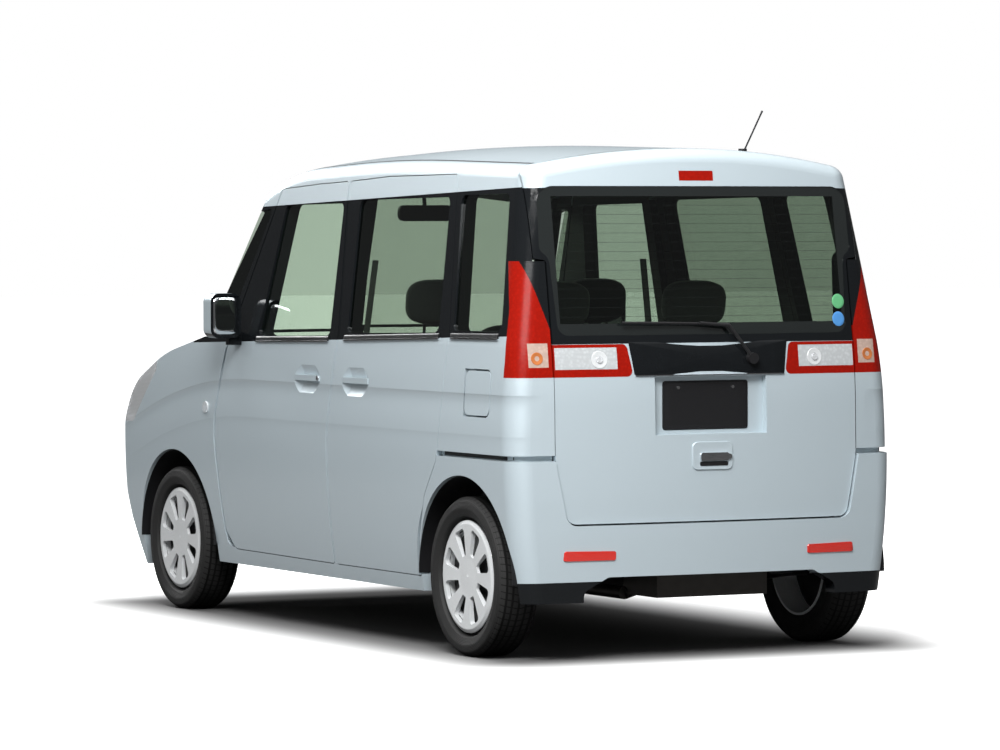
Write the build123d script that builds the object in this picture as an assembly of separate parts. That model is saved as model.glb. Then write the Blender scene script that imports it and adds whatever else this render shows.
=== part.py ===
from build123d import *
import math
import os

# Small high-roofed family car, in millimetres: +X forward, +Y left, +Z up.
# The origin lies on the ground, midway between the bumpers.

# Overall sizes
LENGTH = 3395
WIDTH = 1475
ROOF_Z = 1735
NOSE_X = LENGTH / 2
TAIL_X = -LENGTH / 2

# Running gear
FRONT_AXLE_X = 1162.5
WHEELBASE = 2425
REAR_AXLE_X = FRONT_AXLE_X - WHEELBASE
TYRE_R = 270
TYRE_W = 155
RIM_R = 178
TRACK_Y = 647.5
KINGPIN_Y = 600
SPINDLE_R = 14
RUN_FIT = 0.05
ARCH_Z = 262
FRONT_ARCH_R = 346
REAR_ARCH_R = 350
BUMPER_STEP = 12
REAR_CORNER_R = 80
RAIL_R = 55

# Body walls, gaps and hinges
BELT_Z = 1045
ROOF_CROWN_R = 3000
SCREEN_BOW_R = 1500
NOSE_BOW_R = 4000
TAIL_BOW_R = 5800
ROOF_T = 35
SKIN_T = 14
GLASS_T = 5
GAP = 6
HINGE_GAP = 8
SEAT_GAP = 0.3
PIN_R = 5
LEAF_T = 12
LEAF_GAP = 2
DOOR_HINGE_X = 700
DOOR_HINGE_Y = 716
DOOR_HINGE_ZS = (450, 850)
TAILGATE_HINGE_X = -1515
TAILGATE_HINGE_Z = 1672
TAILGATE_HINGE_YS = (-380, 380)
BONNET_HINGE_X = 1150
BONNET_HINGE_Z = 984
BONNET_HINGE_Y = 540
FLOOR_Z = 262
FLOOR_T = 12
REAR_FLOOR_Z = 430
REAR_FLOOR_X = -1010
CABIN_Y = 612
FIREWALL_X = 985
REAR_WALL_X = -1587.5
TIE_DOWN_R = 13
TIE_DOWN_X = 640
TIE_DOWN_Z = 180
HANDLE_Z = 910
HANDLE_Y = 729
HANDLE_XS = (-32, -432)
BOWL_R = 86
BOWL_DEPTH = 16
RAIL_SLOT_ZS = (672, 690)


def outline(rows):
    """Closed face from rows of (first coordinate, second coordinate, corner radius)."""
    points = [Vector(a, b) for a, b, _ in rows]
    starts, ends, mids = [], [], []
    for i, (a, b, radius) in enumerate(rows):
        point = points[i]
        back = (points[i - 1] - point).normalized()
        ahead = (points[(i + 1) % len(rows)] - point).normalized()
        if radius == 0:
            starts.append(point)
            ends.append(point)
            mids.append(None)
            continue
        half = math.radians(back.get_angle(ahead)) / 2
        trim = radius / math.tan(half)
        inward = (back + ahead).normalized()
        starts.append(point + back * trim)
        ends.append(point + ahead * trim)
        mids.append(point + inward * (radius / math.sin(half) - radius))
    edges = []
    for i in range(len(rows)):
        if mids[i] is not None:
            edges.append(ThreePointArc(starts[i], mids[i], ends[i]))
        after = starts[(i + 1) % len(rows)]
        if (after - ends[i]).length > 1e-6:
            edges.append(Line(ends[i], after))
    return make_face(Wire(edges))


def box(x0, x1, y0, y1, z0, z1):
    return Pos((x0 + x1) / 2, (y0 + y1) / 2, (z0 + z1) / 2) * Box(abs(x1 - x0), abs(y1 - y0), abs(z1 - z0))


def side_prism(rows, y0, y1):
    """Prism with (x, z, radius) corners from y0 to y1."""
    return extrude(Plane.XZ.offset(-y1) * outline(rows), amount=y1 - y0)


def cross_prism(rows, x0, x1):
    """Prism with (y, z, radius) corners from x0 to x1."""
    return extrude(Plane.YZ.offset(x0) * outline(rows), amount=x1 - x0)


def plan_prism(rows, z0, z1):
    """Prism with (x, y, radius) corners from z0 to z1."""
    return extrude(Plane.XY.offset(z0) * outline(rows), amount=z1 - z0)


def rod(p0, p1, radius):
    """Round rod between two points."""
    a, b = Vector(p0), Vector(p1)
    return extrude(Plane(origin=a, z_dir=b - a) * Circle(radius), amount=(b - a).length)


def flip(shape):
    """The same shape on the right side."""
    return mirror(shape, about=Plane.XZ)


def grown(rows, by):
    """Rows moved outwards by an amount, worked out from their own neighbours."""
    out = []
    count = len(rows)
    area = sum(rows[i - 1][0] * rows[i][1] - rows[i][0] * rows[i - 1][1] for i in range(count))
    turn = 1 if area > 0 else -1
    for i, (a, b, radius) in enumerate(rows):
        p = Vector(a, b)
        u = (p - Vector(*rows[i - 1][:2])).normalized()
        v = (Vector(*rows[(i + 1) % count][:2]) - p).normalized()
        n1 = Vector(u.Y, -u.X) * turn
        n2 = Vector(v.Y, -v.X) * turn
        mid = (n1 + n2).normalized()
        q = p + mid * (by / mid.dot(n1))
        convex = (u.X * v.Y - u.Y * v.X) * turn > 0
        out.append((q.X, q.Y, max(radius + (by if convex else -by), 1) if radius else 0))
    return out


def sides(inset=0):
    """Both body sides: one arc below the belt line and a straight lean above it."""
    half = WIDTH / 2 - inset
    right, left = [], []
    edges = []
    for s in (1, -1):
        low, belly = (s * (half - 47), 150), (s * (half - 1.2), 600)
        belt, top = (s * (half - 21.5), 1050), (s * (half - 136.5), 1790)
        edges += [ThreePointArc(low, belly, belt), Line(belt, top)]
        (right if s > 0 else left).extend([low, top])
    edges += [Line(right[0], left[0]), Line(right[1], left[1])]
    return extrude(Plane.YZ * make_face(Wire(edges)), amount=2100, both=True)


# Roof line in side view: x, z, corner radius
TOP = [(-2000, 100, 0), (-2000, 1698.5, 0), (-500, 1740.5, 12000), (330, 1713.5, 1200), (640, 1606, 200),
       (700, 1560, 0), (1400, 1200, 0), (1400, 100, 0)]
# Windscreen in side view at the centre line
SCREEN = [(-300, 1900, 0), (473, 1900, 0), (1098, 1000, 0), (1098, 200, 0), (-300, 200, 0)]
# Tail in side view
TAIL = [(0, 1900, 0), (-1528, 1900, 0), (-1678, 960, 1500), (-1685.5, 540, 300), (-1685.5, 420, 300),
        (-1678, 100, 0), (0, 100, 0)]
# Bonnet and nose in side view
NOSE = [(-400, 1040, 0), (980, 1040, 0), (1340, 970, 900), (1610, 850, 260), (1694, 710, 120),
        (1697.5, 540, 200), (1697.5, 430, 100), (1670, 330, 60), (1585, 150, 0), (-400, 150, 0)]


def spun(rows, axis_x, turn=40):
    """Solid spun about an upright axis, symmetrical about the centre plane."""
    swept = revolve(Plane.XZ * outline(rows), Axis((axis_x, 0, 0), (0, 0, 1)), turn)
    return Pos(axis_x, 0, 0) * Rot(0, 0, -turn / 2) * Pos(-axis_x, 0, 0) * swept


def roof_form(inset):
    low = ROOF_Z - ROOF_CROWN_R
    rows = [(x, z - inset, r) for x, z, r in TOP]
    swept = revolve(Plane.XZ * outline(rows), Axis((0, 0, low), (1, 0, 0)), 64)
    return Pos(0, 0, low) * Rot(-32, 0, 0) * Pos(0, 0, -low) * swept


def tail_form(inset):
    axis_x = TAIL_X + TAIL_BOW_R
    rows = [(x + inset if x < 0 else axis_x, z, r) for x, z, r in TAIL]
    return spun(rows, axis_x)


def screen_form(inset):
    axis_x = 1098 - SCREEN_BOW_R
    rows = [(x - inset if x > 0 else axis_x, z, r) for x, z, r in SCREEN]
    return spun(rows, axis_x, 120) + box(-2100, 100, -900, 900, 200, 1900)


def nose_form(inset):
    axis_x = NOSE_X - NOSE_BOW_R
    rows = [(x - inset if x > 0 and z < 900 else (axis_x if x < 0 else x), z - (inset if z > 700 else 0), r)
            for x, z, r in NOSE]
    return spun(rows, axis_x, 40) + box(-2100, 900, -900, 900, 150, 1040 - inset)


def greenhouse(inset=0):
    return sides(inset) & roof_form(inset) & tail_form(inset) & screen_form(inset)


def lower_body(inset=0):
    form = sides(inset) & tail_form(inset) & nose_form(inset)
    return form


def is_rear_corner(edge):
    size, middle = edge.bounding_box().size, edge.center()
    return middle.X < -1400 and abs(middle.Y) > 600 and size.Z > 20 and size.X < 220


def is_roof_rail(edge):
    size, middle = edge.bounding_box().size, edge.center()
    return middle.Z > 1590 and middle.X > -1500 and abs(middle.Y) > 550 and size.X > 60 and size.Y < 60


def hull(inset=0):
    """Outer form of the body, or the same form moved inwards, with its rear corners and roof rails rounded."""
    upper = greenhouse(inset) & box(-1800, 1400, -800, 800, 980, 1800)
    form = upper + lower_body(inset)
    form = form.fillet(max(REAR_CORNER_R - inset, 20), [e for e in form.edges() if is_rear_corner(e)])
    if inset == 0:
        form = form.fillet(RAIL_R, [e for e in form.edges() if is_roof_rail(e)])
    return form


def cabin_space():
    """Inside of the cabin: walls thick below the belt, thin above it."""
    rows = [(CABIN_Y, FLOOR_Z, 0), (CABIN_Y, 1000, 0), (657, BELT_Z + 15, 0), (543, 1790, 0)]
    section = rows + [(-y, z, 0) for y, z, _ in reversed(rows)]
    tail = spun([(5000 - 1590, 1900, 0), (-1468, 1900, 0), (-1588, 1000, 0), (-1588, 200, 0), (5000 - 1590, 200, 0)],
                5000 - 1590)
    space = cross_prism(section, -1700, 1300) & roof_form(ROOF_T) & tail & screen_form(30)
    space -= box(FIREWALL_X, 1400, -800, 800, 0, 985)
    space += box(600, FIREWALL_X, -CABIN_Y, CABIN_Y, FLOOR_Z, 985)
    return space


# Door outlines in side view: x, z, corner radius
FRONT_DOOR = [(-216, 250, 20), (650, 255, 60), (722, 330, 60), (783, 715, 300), (694, 1003, 60),
              (388, 1590, 30), (60, 1606, 900), (-176, 1613, 20), (-190, 1540, 0), (-262, 1060, 90), (-206, 700, 300)]
SLIDING_DOOR = [(-222, 250, 20), (-212, 700, 300), (-268, 1060, 90), (-196, 1540, 0), (-182, 1613, 20),
                (-500, 1627, 900), (-1035, 1630, 20), (-1136, 1075, 60), (-1118, 850, 200), (-1084, 656, 120),
                (-985, 533, 120), (-925, 380, 60), (-915, 250, 20)]
FRONT_WINDOW = [(423, 1050, 25), (-190, 1063, 25), (-160, 1535, 30), (330, 1530, 30)]
SLIDING_WINDOW = [(-330, 1074, 25), (-1050, 1089, 30), (-1000, 1552, 30), (-290, 1545, 30)]
FRONT_QUARTER = [(720, 1052, 15), (875, 1052, 15), (565, 1505, 20), (440, 1520, 15)]
REAR_QUARTER = [(-1160, 1096, 25), (-1515, 1100, 30), (-1440, 1560, 30), (-1085, 1556, 25)]
TAILGATE_LOW_Y = 582
TAILGATE_HIGH_Y = 626
TAILGATE_SEAM_X = -1478


def arch(axle_x, radius, y0, y1):
    """Wheel arch cut-out, open downwards."""
    cut = extrude(Plane.XZ.offset(-y1) * Pos(axle_x, ARCH_Z) * Circle(radius), amount=y1 - y0)
    return cut + box(axle_x - radius, axle_x + radius, y0, y1, 0, ARCH_Z)


def door_swing():
    """What the front door may fill behind its hinge: its rear edge is round about the hinge."""
    rows = [(DOOR_HINGE_X + 222, 200, 0), (DOOR_HINGE_X + 212, 700, 300), (DOOR_HINGE_X + 268, 1060, 90),
            (DOOR_HINGE_X + 196, 1540, 0), (DOOR_HINGE_X + 182, 1700, 0)]
    rows = [(r - 2 * GAP, z, k) for r, z, k in rows]
    profile = [(0, 200, 0)] + rows + [(0, 1700, 0)]
    swept = revolve(Plane.XZ * outline(profile), Axis((0, 0, 0), (0, 0, 1)), 360)
    return Pos(DOOR_HINGE_X, DOOR_HINGE_Y, 0) * swept


def hinge(axis_point, ahead, out, reach, depth, rise=0):
    """Hidden hinge in a frame with its pin along Z: (leaf with pin, notch with bores)."""
    along = ahead.cross(out)
    frame = Plane(origin=axis_point, x_dir=ahead, z_dir=along)
    half = LEAF_T / 2
    arm = box(-8, 8, -depth, 0, -half, half) + Cylinder(8, LEAF_T)
    arm += box(-8, reach, -depth, -depth + 14, -half, half) + box(reach - 30, reach, -depth, -depth + 14 + rise, -half, half)
    arm += Cylinder(PIN_R, LEAF_T + 2 * LEAF_GAP + 30)
    notch = box(-11, reach + 40, -depth - 60, 0, -half - LEAF_GAP, half + LEAF_GAP) + Cylinder(11, LEAF_T + 2 * LEAF_GAP)
    notch += box(0, 36, -1, 10, -half - LEAF_GAP, half + LEAF_GAP)
    notch += Cylinder(PIN_R + RUN_FIT, LEAF_T + 2 * LEAF_GAP + 34)
    return frame * arm, frame * notch


def door_hinges():
    leaves, notches = [], []
    for z in DOOR_HINGE_ZS:
        leaf, notch = hinge((DOOR_HINGE_X, DOOR_HINGE_Y, z), Vector(1, 0, 0), Vector(0, 1, 0), 110, 118)
        leaves.append(leaf)
        notches.append(notch)
    return leaves, notches


def handle(x):
    """Bowl and pull bar of an outside door handle: (cut, bar)."""
    rows = [(-108, 0, 0), (-108, BOWL_R - BOWL_DEPTH, 0), (-58, BOWL_R, 0), (58, BOWL_R, 0),
            (108, BOWL_R - BOWL_DEPTH, 0), (108, 0, 0)]
    bowl = Pos(x, HANDLE_Y + BOWL_R - BOWL_DEPTH, HANDLE_Z) * revolve(Plane.XY * outline(rows), Axis.X, 360)
    bar = box(x - 103, x + 103, HANDLE_Y - 15, HANDLE_Y + 3, HANDLE_Z - 11, HANDLE_Z + 9)
    return bowl, bar


def front_door_left(wall):
    door = wall & side_prism(grown(FRONT_DOOR, -GAP / 2), 400, 800) & door_swing()
    front_rows = [(-400, 200, 0), (642, 200, 60), (722 - HINGE_GAP, 330, 60), (783 - HINGE_GAP, 715, 300),
                  (694 - HINGE_GAP, 1003, 60), (388 - HINGE_GAP, 1590, 0), (388, 1700, 0), (-400, 1700, 0)]
    door &= side_prism(front_rows, 400, 800)
    door -= side_prism(FRONT_WINDOW, 400, 800)
    door -= box(-400, 900, CABIN_Y - 40, 669, 300, 990) & side_prism(grown(FRONT_DOOR, -60), 400, 800) & \
        box(-400, 640, 0, 640, 0, 2000)
    for notch in door_hinges()[1]:
        door -= notch
    bowl, bar = handle(HANDLE_XS[0])
    return door - bowl + bar


def glass(rows, inset):
    """Side glass seated in its window."""
    pane = sides(inset) - sides(inset + GLASS_T)
    return pane & side_prism(grown(rows, -SEAT_GAP), 400, 800)


def wheel_arch_ring(axle_x, inner, outer, y0, y1):
    ring = arch(axle_x, outer, y0, y1) - arch(axle_x, inner, y0 - 1, y1 + 1)
    return ring & box(axle_x - 500, axle_x + 500, y0, y1, 240, 900)


# Seams of the outer panels in side view: x, z, corner radius
FENDER_ZONE = [(714, 270, 0), (730, 330, 60), (791, 715, 300), (702, 1003, 0), (1000, 1003, 0), (1000, 1100, 0),
               (1750, 1100, 0), (1750, 270, 0)]
FRONT_BUMPER_ZONE = [(1400, 100, 0), (1440, 480, 0), (1545, 700, 0), (1800, 700, 0), (1800, 100, 0)]
HEADLAMP_ZONE = [(1335, 1000, 0), (1335, 905, 20), (1430, 815, 120), (1545, 700.3, 40), (1800, 700.3, 0),
                 (1800, 1000, 0)]
TAIL_LAMP_ZONE = [(-1495, 1334, 0), (-1547, 1173, 200), (-1562, 1000, 60), (-1562, 948, 0), (-1800, 948, 0),
                  (-1800, 1334, 0)]
REAR_BUMPER_ZONE = [(-1440, 671, 0), (-1800, 671, 0), (-1800, 150, 0), (-1440, 150, 0)]
BONNET_Y = 600
LAMP_INNER_Y = 345
BONNET_PLAN = [(1100, -BONNET_Y, 0), (1335, -BONNET_Y, 150), (1560, -400, 250), (1640, 0, 1200),
               (1560, 400, 250), (1335, BONNET_Y, 150), (1100, BONNET_Y, 0)]
TAILGATE_FACE = [(540, 458, 40), (TAILGATE_LOW_Y, 671, 200), (TAILGATE_LOW_Y, 1334, 10),
                 (TAILGATE_HIGH_Y, 1340, 10), (TAILGATE_HIGH_Y, 1560, 0), (TAILGATE_HIGH_Y, 1760, 0)]
TAILGATE_GLASS_FACE = [(556, 1086, 40), (570, 1345, 40), (602, 1370, 30), (594, 1584, 60)]
WINDSCREEN_FACE = [(655, 1015, 20), (576, 1524, 30), (0, 1600, 2400), (-576, 1524, 30), (-655, 1015, 20)]
REAR_LAMP_INNER = [(600, 948, 0), (292, 948, 20), (313, 1057, 20), (600, 1057, 0)]


def both_sides(rows):
    """Rows of the left half completed by their mirror image."""
    return rows + [(-a, b, r) for a, b, r in reversed(rows)]


def b_pillar():
    """Upright inside the doors, from the floor to the roof rail."""
    rows = [(CABIN_Y - 30, FLOOR_Z, 0), (CABIN_Y, FLOOR_Z, 0), (CABIN_Y, 1000, 0), (657, BELT_Z + 15, 0),
            (566, 1640, 0), (536, 1640, 0), (627, BELT_Z + 15, 0), (CABIN_Y - 30, 1000, 0)]
    return cross_prism(rows, -250, -190)


def fuel_flap(skin):
    hinge_y = 719
    zone = side_prism([(-1470, 818, 25), (-1290, 818, 25), (-1290, 967, 25), (-1470, 967, 25)], 500, 800)
    plate = (skin & zone) & (sides() - sides(5))
    axis = (-1302, hinge_y)
    lug = box(axis[0] - 8, axis[0] + 5, hinge_y - 8, hinge_y + 8, 880, 905)
    lug -= rod((axis[0], hinge_y, 870), (axis[0], hinge_y, 915), 2.5 + RUN_FIT)
    flap = plate + lug
    pocket = side_prism([(-1476, 812, 31), (-1300, 812, 0), (-1300, 973, 0), (-1476, 973, 31)], 655, 800)
    pocket += rod((axis[0], hinge_y, 812), (axis[0], hinge_y, 973), 25)
    ears = [box(axis[0] - 4, axis[0] + 4, 655, hinge_y, z, z + 6) + rod((axis[0], hinge_y, z), (axis[0], hinge_y, z + 6), 4)
            for z in (872, 907)]
    pin = rod((axis[0], hinge_y, 873), (axis[0], hinge_y, 912), 2.5)
    return flap, pocket, ears[0] + ears[1] + pin


def side_left(left_wall, shell20):
    side = left_wall & box(-1800, 1000, 0, 800, 200, 1800)
    side -= box(FIREWALL_X, 1001, 0, 690, 0, 985)
    side -= box(900, 1001, 0, BONNET_Y, 0, 1015)
    for rows in (FRONT_DOOR, SLIDING_DOOR, grown(FRONT_QUARTER, 0), REAR_QUARTER, TAIL_LAMP_ZONE, REAR_BUMPER_ZONE):
        side -= side_prism(rows, 0, 800)
    side -= arch(REAR_AXLE_X, REAR_ARCH_R, 400, 800)
    side -= arch(FRONT_AXLE_X, FRONT_ARCH_R + 4, 400, 800)
    side -= shell20 & side_prism(FENDER_ZONE, 400, 800)
    side -= box(-1479, 900, 0, 560, 1480, 1800)
    side -= box(-1800, 1100, 0, TAILGATE_LOW_Y, 300, 1334) & box(-1800, -1478, 0, 800, 300, 1400)
    side -= box(-1800, -1478, 0, TAILGATE_HIGH_Y, 1334, 1800)
    side -= cross_prism(WINDSCREEN_FACE, 300, 1300)
    side -= door_slot()
    side -= shell20 & box(-1800, -1060, 400, 800, *RAIL_SLOT_ZS)
    side += b_pillar()
    for leaf in door_hinges()[0]:
        side += leaf
    return side


def door_slot():
    """Room ahead of the front door's hinged edge."""
    rows = [(600, 262, 0), (722, 262, 60), (791, 715, 300), (702, 1003, 0), (600, 1003, 0)]
    return side_prism(rows, CABIN_Y, 800)


def tie_down(s):
    """Lashing eye under a side member, open across the car."""
    eye = box(TIE_DOWN_X - 30, TIE_DOWN_X + 30, s * 350, s * 362, TIE_DOWN_Z - 25, 206)
    return eye - rod((TIE_DOWN_X, s * 340, TIE_DOWN_Z), (TIE_DOWN_X, s * 370, TIE_DOWN_Z), TIE_DOWN_R)


def wheel_wells():
    """Space of both left wheels inside the body."""
    return arch(REAR_AXLE_X, REAR_ARCH_R + 2, 545, CABIN_Y + 1) + arch(FRONT_AXLE_X, FRONT_ARCH_R + 4, 405, CABIN_Y + 1)


def floor_pan():
    pan = box(REAR_FLOOR_X, FIREWALL_X, -CABIN_Y, CABIN_Y, FLOOR_Z - FLOOR_T, FLOOR_Z)
    pan += box(REAR_FLOOR_X - FLOOR_T, REAR_FLOOR_X, -CABIN_Y, CABIN_Y, FLOOR_Z - FLOOR_T, REAR_FLOOR_Z)
    pan += box(REAR_WALL_X, REAR_FLOOR_X, -CABIN_Y, CABIN_Y, REAR_FLOOR_Z - FLOOR_T, REAR_FLOOR_Z)
    pan += box(REAR_WALL_X, -1576, -530, 530, 300, REAR_FLOOR_Z)
    for s in (1, -1):
        pan += box(REAR_FLOOR_X, FIREWALL_X, s * 300, s * 380, 205, FLOOR_Z - FLOOR_T) + tie_down(s)
        pan += box(-1580, REAR_FLOOR_X - FLOOR_T, s * 400, s * 460, 358, REAR_FLOOR_Z - FLOOR_T)
        well = wheel_wells()
        pan -= well if s > 0 else flip(well)
    for x in (300, -500):
        pan += box(x, x + 60, -300, 300, 215, FLOOR_Z - FLOOR_T)
    return pan


def rear_wheelhouse():
    """Left rear wheelhouse, standing on the floor."""
    house = wheel_arch_ring(REAR_AXLE_X, REAR_ARCH_R + 2, REAR_ARCH_R + 14, 545, CABIN_Y)
    house += wheel_arch_ring(REAR_AXLE_X, 1, REAR_ARCH_R + 14, 533, 545)
    return house & box(-1540, REAR_FLOOR_X + 120, 500, CABIN_Y, REAR_FLOOR_Z + SEAT_GAP, 900)


def front_wheelhouse():
    """Left front wheelhouse where it reaches into the footwell."""
    house = wheel_arch_ring(FRONT_AXLE_X, FRONT_ARCH_R + 4, FRONT_ARCH_R + 16, 405, CABIN_Y)
    house += wheel_arch_ring(FRONT_AXLE_X, 1, FRONT_ARCH_R + 16, 393, 405)
    return house & box(700, FIREWALL_X, 390, CABIN_Y, FLOOR_Z + SEAT_GAP, 900)


def firewall(cowl_top):
    wall = box(FIREWALL_X + SEAT_GAP, FIREWALL_X + 15, -CABIN_Y, CABIN_Y, FLOOR_Z - FLOOR_T, 985)
    well = wheel_wells()
    return wall - well - flip(well) + cowl_top


def front_frame():
    """Left front side member with its apron, wheelhouse and bonnet bracket."""
    start = FIREWALL_X + 15 + SEAT_GAP
    frame = box(start, 1550, 330, 395, 300, 420)
    frame += side_prism([(start, 300, 0), (1540, 300, 0), (1540, 700, 0), (1300, 870, 0), (start, 870, 0)], 393, 405)
    frame += box(1080, 1245, 405, 560, 788, 800)
    frame += box(1142, 1158, 545, 555, 788, BONNET_HINGE_Z)
    frame += rod((BONNET_HINGE_X, 545, BONNET_HINGE_Z), (BONNET_HINGE_X, 555, BONNET_HINGE_Z), 8)
    frame += rod((BONNET_HINGE_X, 527, BONNET_HINGE_Z), (BONNET_HINGE_X, 555, BONNET_HINGE_Z), PIN_R)
    return frame


def front_panel():
    """Cross panel behind the bumper."""
    return box(1550 + SEAT_GAP, 1562, -390, 390, 260, 735)


def cowl(shell14):
    panel = shell14 & box(940, 1094, -BONNET_Y, BONNET_Y, 940, 1014.5)
    panel += ((nose_form(0) - nose_form(SKIN_T)) & box(940, 1094, -BONNET_Y, BONNET_Y, 940, 1045)) - screen_form(0)
    panel += box(FIREWALL_X, 1094, -BONNET_Y, BONNET_Y, 983, 1006) & nose_form(SKIN_T / 2)
    panel -= rod((BONNET_HINGE_X, -700, BONNET_HINGE_Z), (BONNET_HINGE_X, 700, BONNET_HINGE_Z), 64)
    return panel


def bonnet(shell14):
    panel = (nose_form(0) & plan_prism(grown(BONNET_PLAN, -GAP / 2), 700, 1100)) - nose_form(SKIN_T)
    panel &= box(1102, 1800, -700, 700, 700, 1100)
    for s in (1, -1):
        ear = box(1138, 1162, s * 528, s * 542, BONNET_HINGE_Z - 12, BONNET_HINGE_Z + 14)
        ear &= lower_body(1) + box(1138, 1162, -600, 600, 900, 980)
        panel += ear
        panel -= rod((BONNET_HINGE_X, s * 500, BONNET_HINGE_Z), (BONNET_HINGE_X, s * 570, BONNET_HINGE_Z), PIN_R + RUN_FIT)
        panel -= rod((BONNET_HINGE_X, s * 543, BONNET_HINGE_Z), (BONNET_HINGE_X, s * 557, BONNET_HINGE_Z), 10)
    return panel


def front_end(shell14, shell25, shell60):
    fender = shell14 & box(600, 1800, BONNET_Y, 800, 200, 1100) & side_prism(FENDER_ZONE, 400, 800)
    fender += shell14 & box(1300, 1700, LAMP_INNER_Y, 800, 200, 1100) & side_prism(FENDER_ZONE, 300, 800)
    fender -= side_prism(HEADLAMP_ZONE, 300, 800)
    fender -= side_prism(FRONT_BUMPER_ZONE, 300, 800)
    fender -= plan_prism(grown(BONNET_PLAN, GAP / 2), 700, 1100)
    fender -= arch(FRONT_AXLE_X, FRONT_ARCH_R, 300, 800)
    lamp = shell60 & side_prism(grown(HEADLAMP_ZONE, -SEAT_GAP), LAMP_INNER_Y + SEAT_GAP, 800)
    lamp -= plan_prism(grown(BONNET_PLAN, GAP / 2), 600, 1100)
    bumper = shell25 & box(1380, 1800, -800, 800, 150, 900)
    middle = box(1380, 1800, -LAMP_INNER_Y, LAMP_INNER_Y, 150, 900)
    corners = side_prism(FRONT_BUMPER_ZONE, -800, 800)
    bumper &= middle + corners
    bumper -= plan_prism(grown(BONNET_PLAN, GAP / 2), 600, 1100)
    for s in (1, -1):
        well = arch(FRONT_AXLE_X, FRONT_ARCH_R, 300, 800)
        bumper -= well if s > 0 else flip(well)
        bumper -= rod((1500, s * 570, 350), (1800, s * 570, 350), 45)
    grille = box(1500, 1800, -310, 310, 640, 745) + box(1500, 1800, -420, 420, 270, 410)
    for z in (662, 690, 718, 305, 340, 375):
        grille -= box(1500, 1800, -430, 430, z - 5, z + 5)
    return fender, lamp, bumper - grille


# Underside notch of the rear bumper: y, z, corner radius
BUMPER_NOTCH = [(-484, 140, 0), (-484, 235, 30), (-395, 283, 30), (395, 283, 30), (484, 235, 30), (484, 140, 0)]


def rear_bumper():
    """Bumper standing a step proud of the tailgate."""
    zone = box(-1800, -1440 - SEAT_GAP, -800, 800, 200, 671 - SEAT_GAP)
    form = sides() & tail_form(-BUMPER_STEP) & box(-1800, -1300, -800, 800, 160, 760)
    form = form.fillet(REAR_CORNER_R, [e for e in form.edges() if is_rear_corner(e)])
    inner = sides(60) & tail_form(48) & box(-1800, -1300, -800, 800, 160, 760)
    bumper = (form - inner) & zone
    bumper -= cross_prism(grown(both_sides(TAILGATE_FACE), GAP / 2), -1800, -1400)
    bumper -= cross_prism(BUMPER_NOTCH, -1800, -1300)
    for cut in (arch(REAR_AXLE_X, REAR_ARCH_R, 400, 800), flip(arch(REAR_AXLE_X, REAR_ARCH_R, 400, 800))):
        bumper -= cut
    return bumper


def door_mirror():
    """Left door mirror: a rounded shell open to the rear, on a foot on the door."""
    shell = Pos(552, 806, 1124) * Box(86, 122, 164)
    shell = shell.fillet(32, [e for e in shell.edges() if abs(e.bounding_box().size.X - 86) < 1])
    shell = shell.fillet(24, [e for e in shell.edges() if e.center().X > 590])
    shell -= Pos(509, 806, 1124) * Box(14, 102, 144)
    foot = plan_prism([(560, 700, 0), (640, 700, 0), (600, 770, 20), (565, 770, 0)], 1015, 1062)
    return shell + foot - sides(-SEAT_GAP)


def antenna():
    base, tip = (-1350, -309, 1694), (-1450, -329, 1840)
    whip = rod(base, tip, 3) + Pos(*tip) * Sphere(4)
    return whip + Pos(-1352, -309, 1700) * Cylinder(15, 30) - roof_form(-SEAT_GAP)


def bent_rod(points, radius):
    """Round rod through points, with balls at its joints."""
    bar = rod(points[0], points[1], radius)
    for a, b in zip(points[1:], points[2:]):
        bar += Pos(*a) * Sphere(radius) + rod(a, b, radius)
    return bar


def rear_wiper():
    """Arm and blade resting across the foot of the rear window."""
    arm = rod((-1670, -156, 1004), (-1694, -156, 1004), 14)
    arm += bent_rod([(-1688, -156, 1004), (-1671, -73, 1115), (-1668, 40, 1124)], 6)
    blade = bent_rod([(-1659.5, -78, 1119), (-1661.5, 130, 1124), (-1658, 331, 1127)], 5)
    return (arm + blade + rod((-1668, 40, 1124), (-1661, 40, 1122), 5)) - tail_form(-SEAT_GAP)


def front_wipers():
    """Two arms parked along the foot of the windscreen."""
    arms = []
    axis_x, radius = 1098 - SCREEN_BOW_R, 6
    for z, turn, span in ((1054, -1, 18), (1068, 0.5, 16.5)):
        bend = 1098 - (z - 1000) * 625 / 900 - axis_x - 4 + radius + SEAT_GAP
        arc = revolve(Plane.XZ * Pos(bend, z) * Circle(radius), Axis((0, 0, 0), (0, 0, 1)), span)
        arc = Pos(axis_x, 0, 0) * Rot(0, 0, turn if turn < 0 else -turn - span) * arc
        angle = math.radians((turn if turn < 0 else -turn - span) + span - 0.3)
        x, y = axis_x + bend * math.cos(angle), bend * math.sin(angle)
        boss = box(x - 8, x + 8, y - 12, y + 8, 1025, z)
        arms.append(arc + boss - screen_form(-SEAT_GAP) - nose_form(-SEAT_GAP))
    return arms


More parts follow.
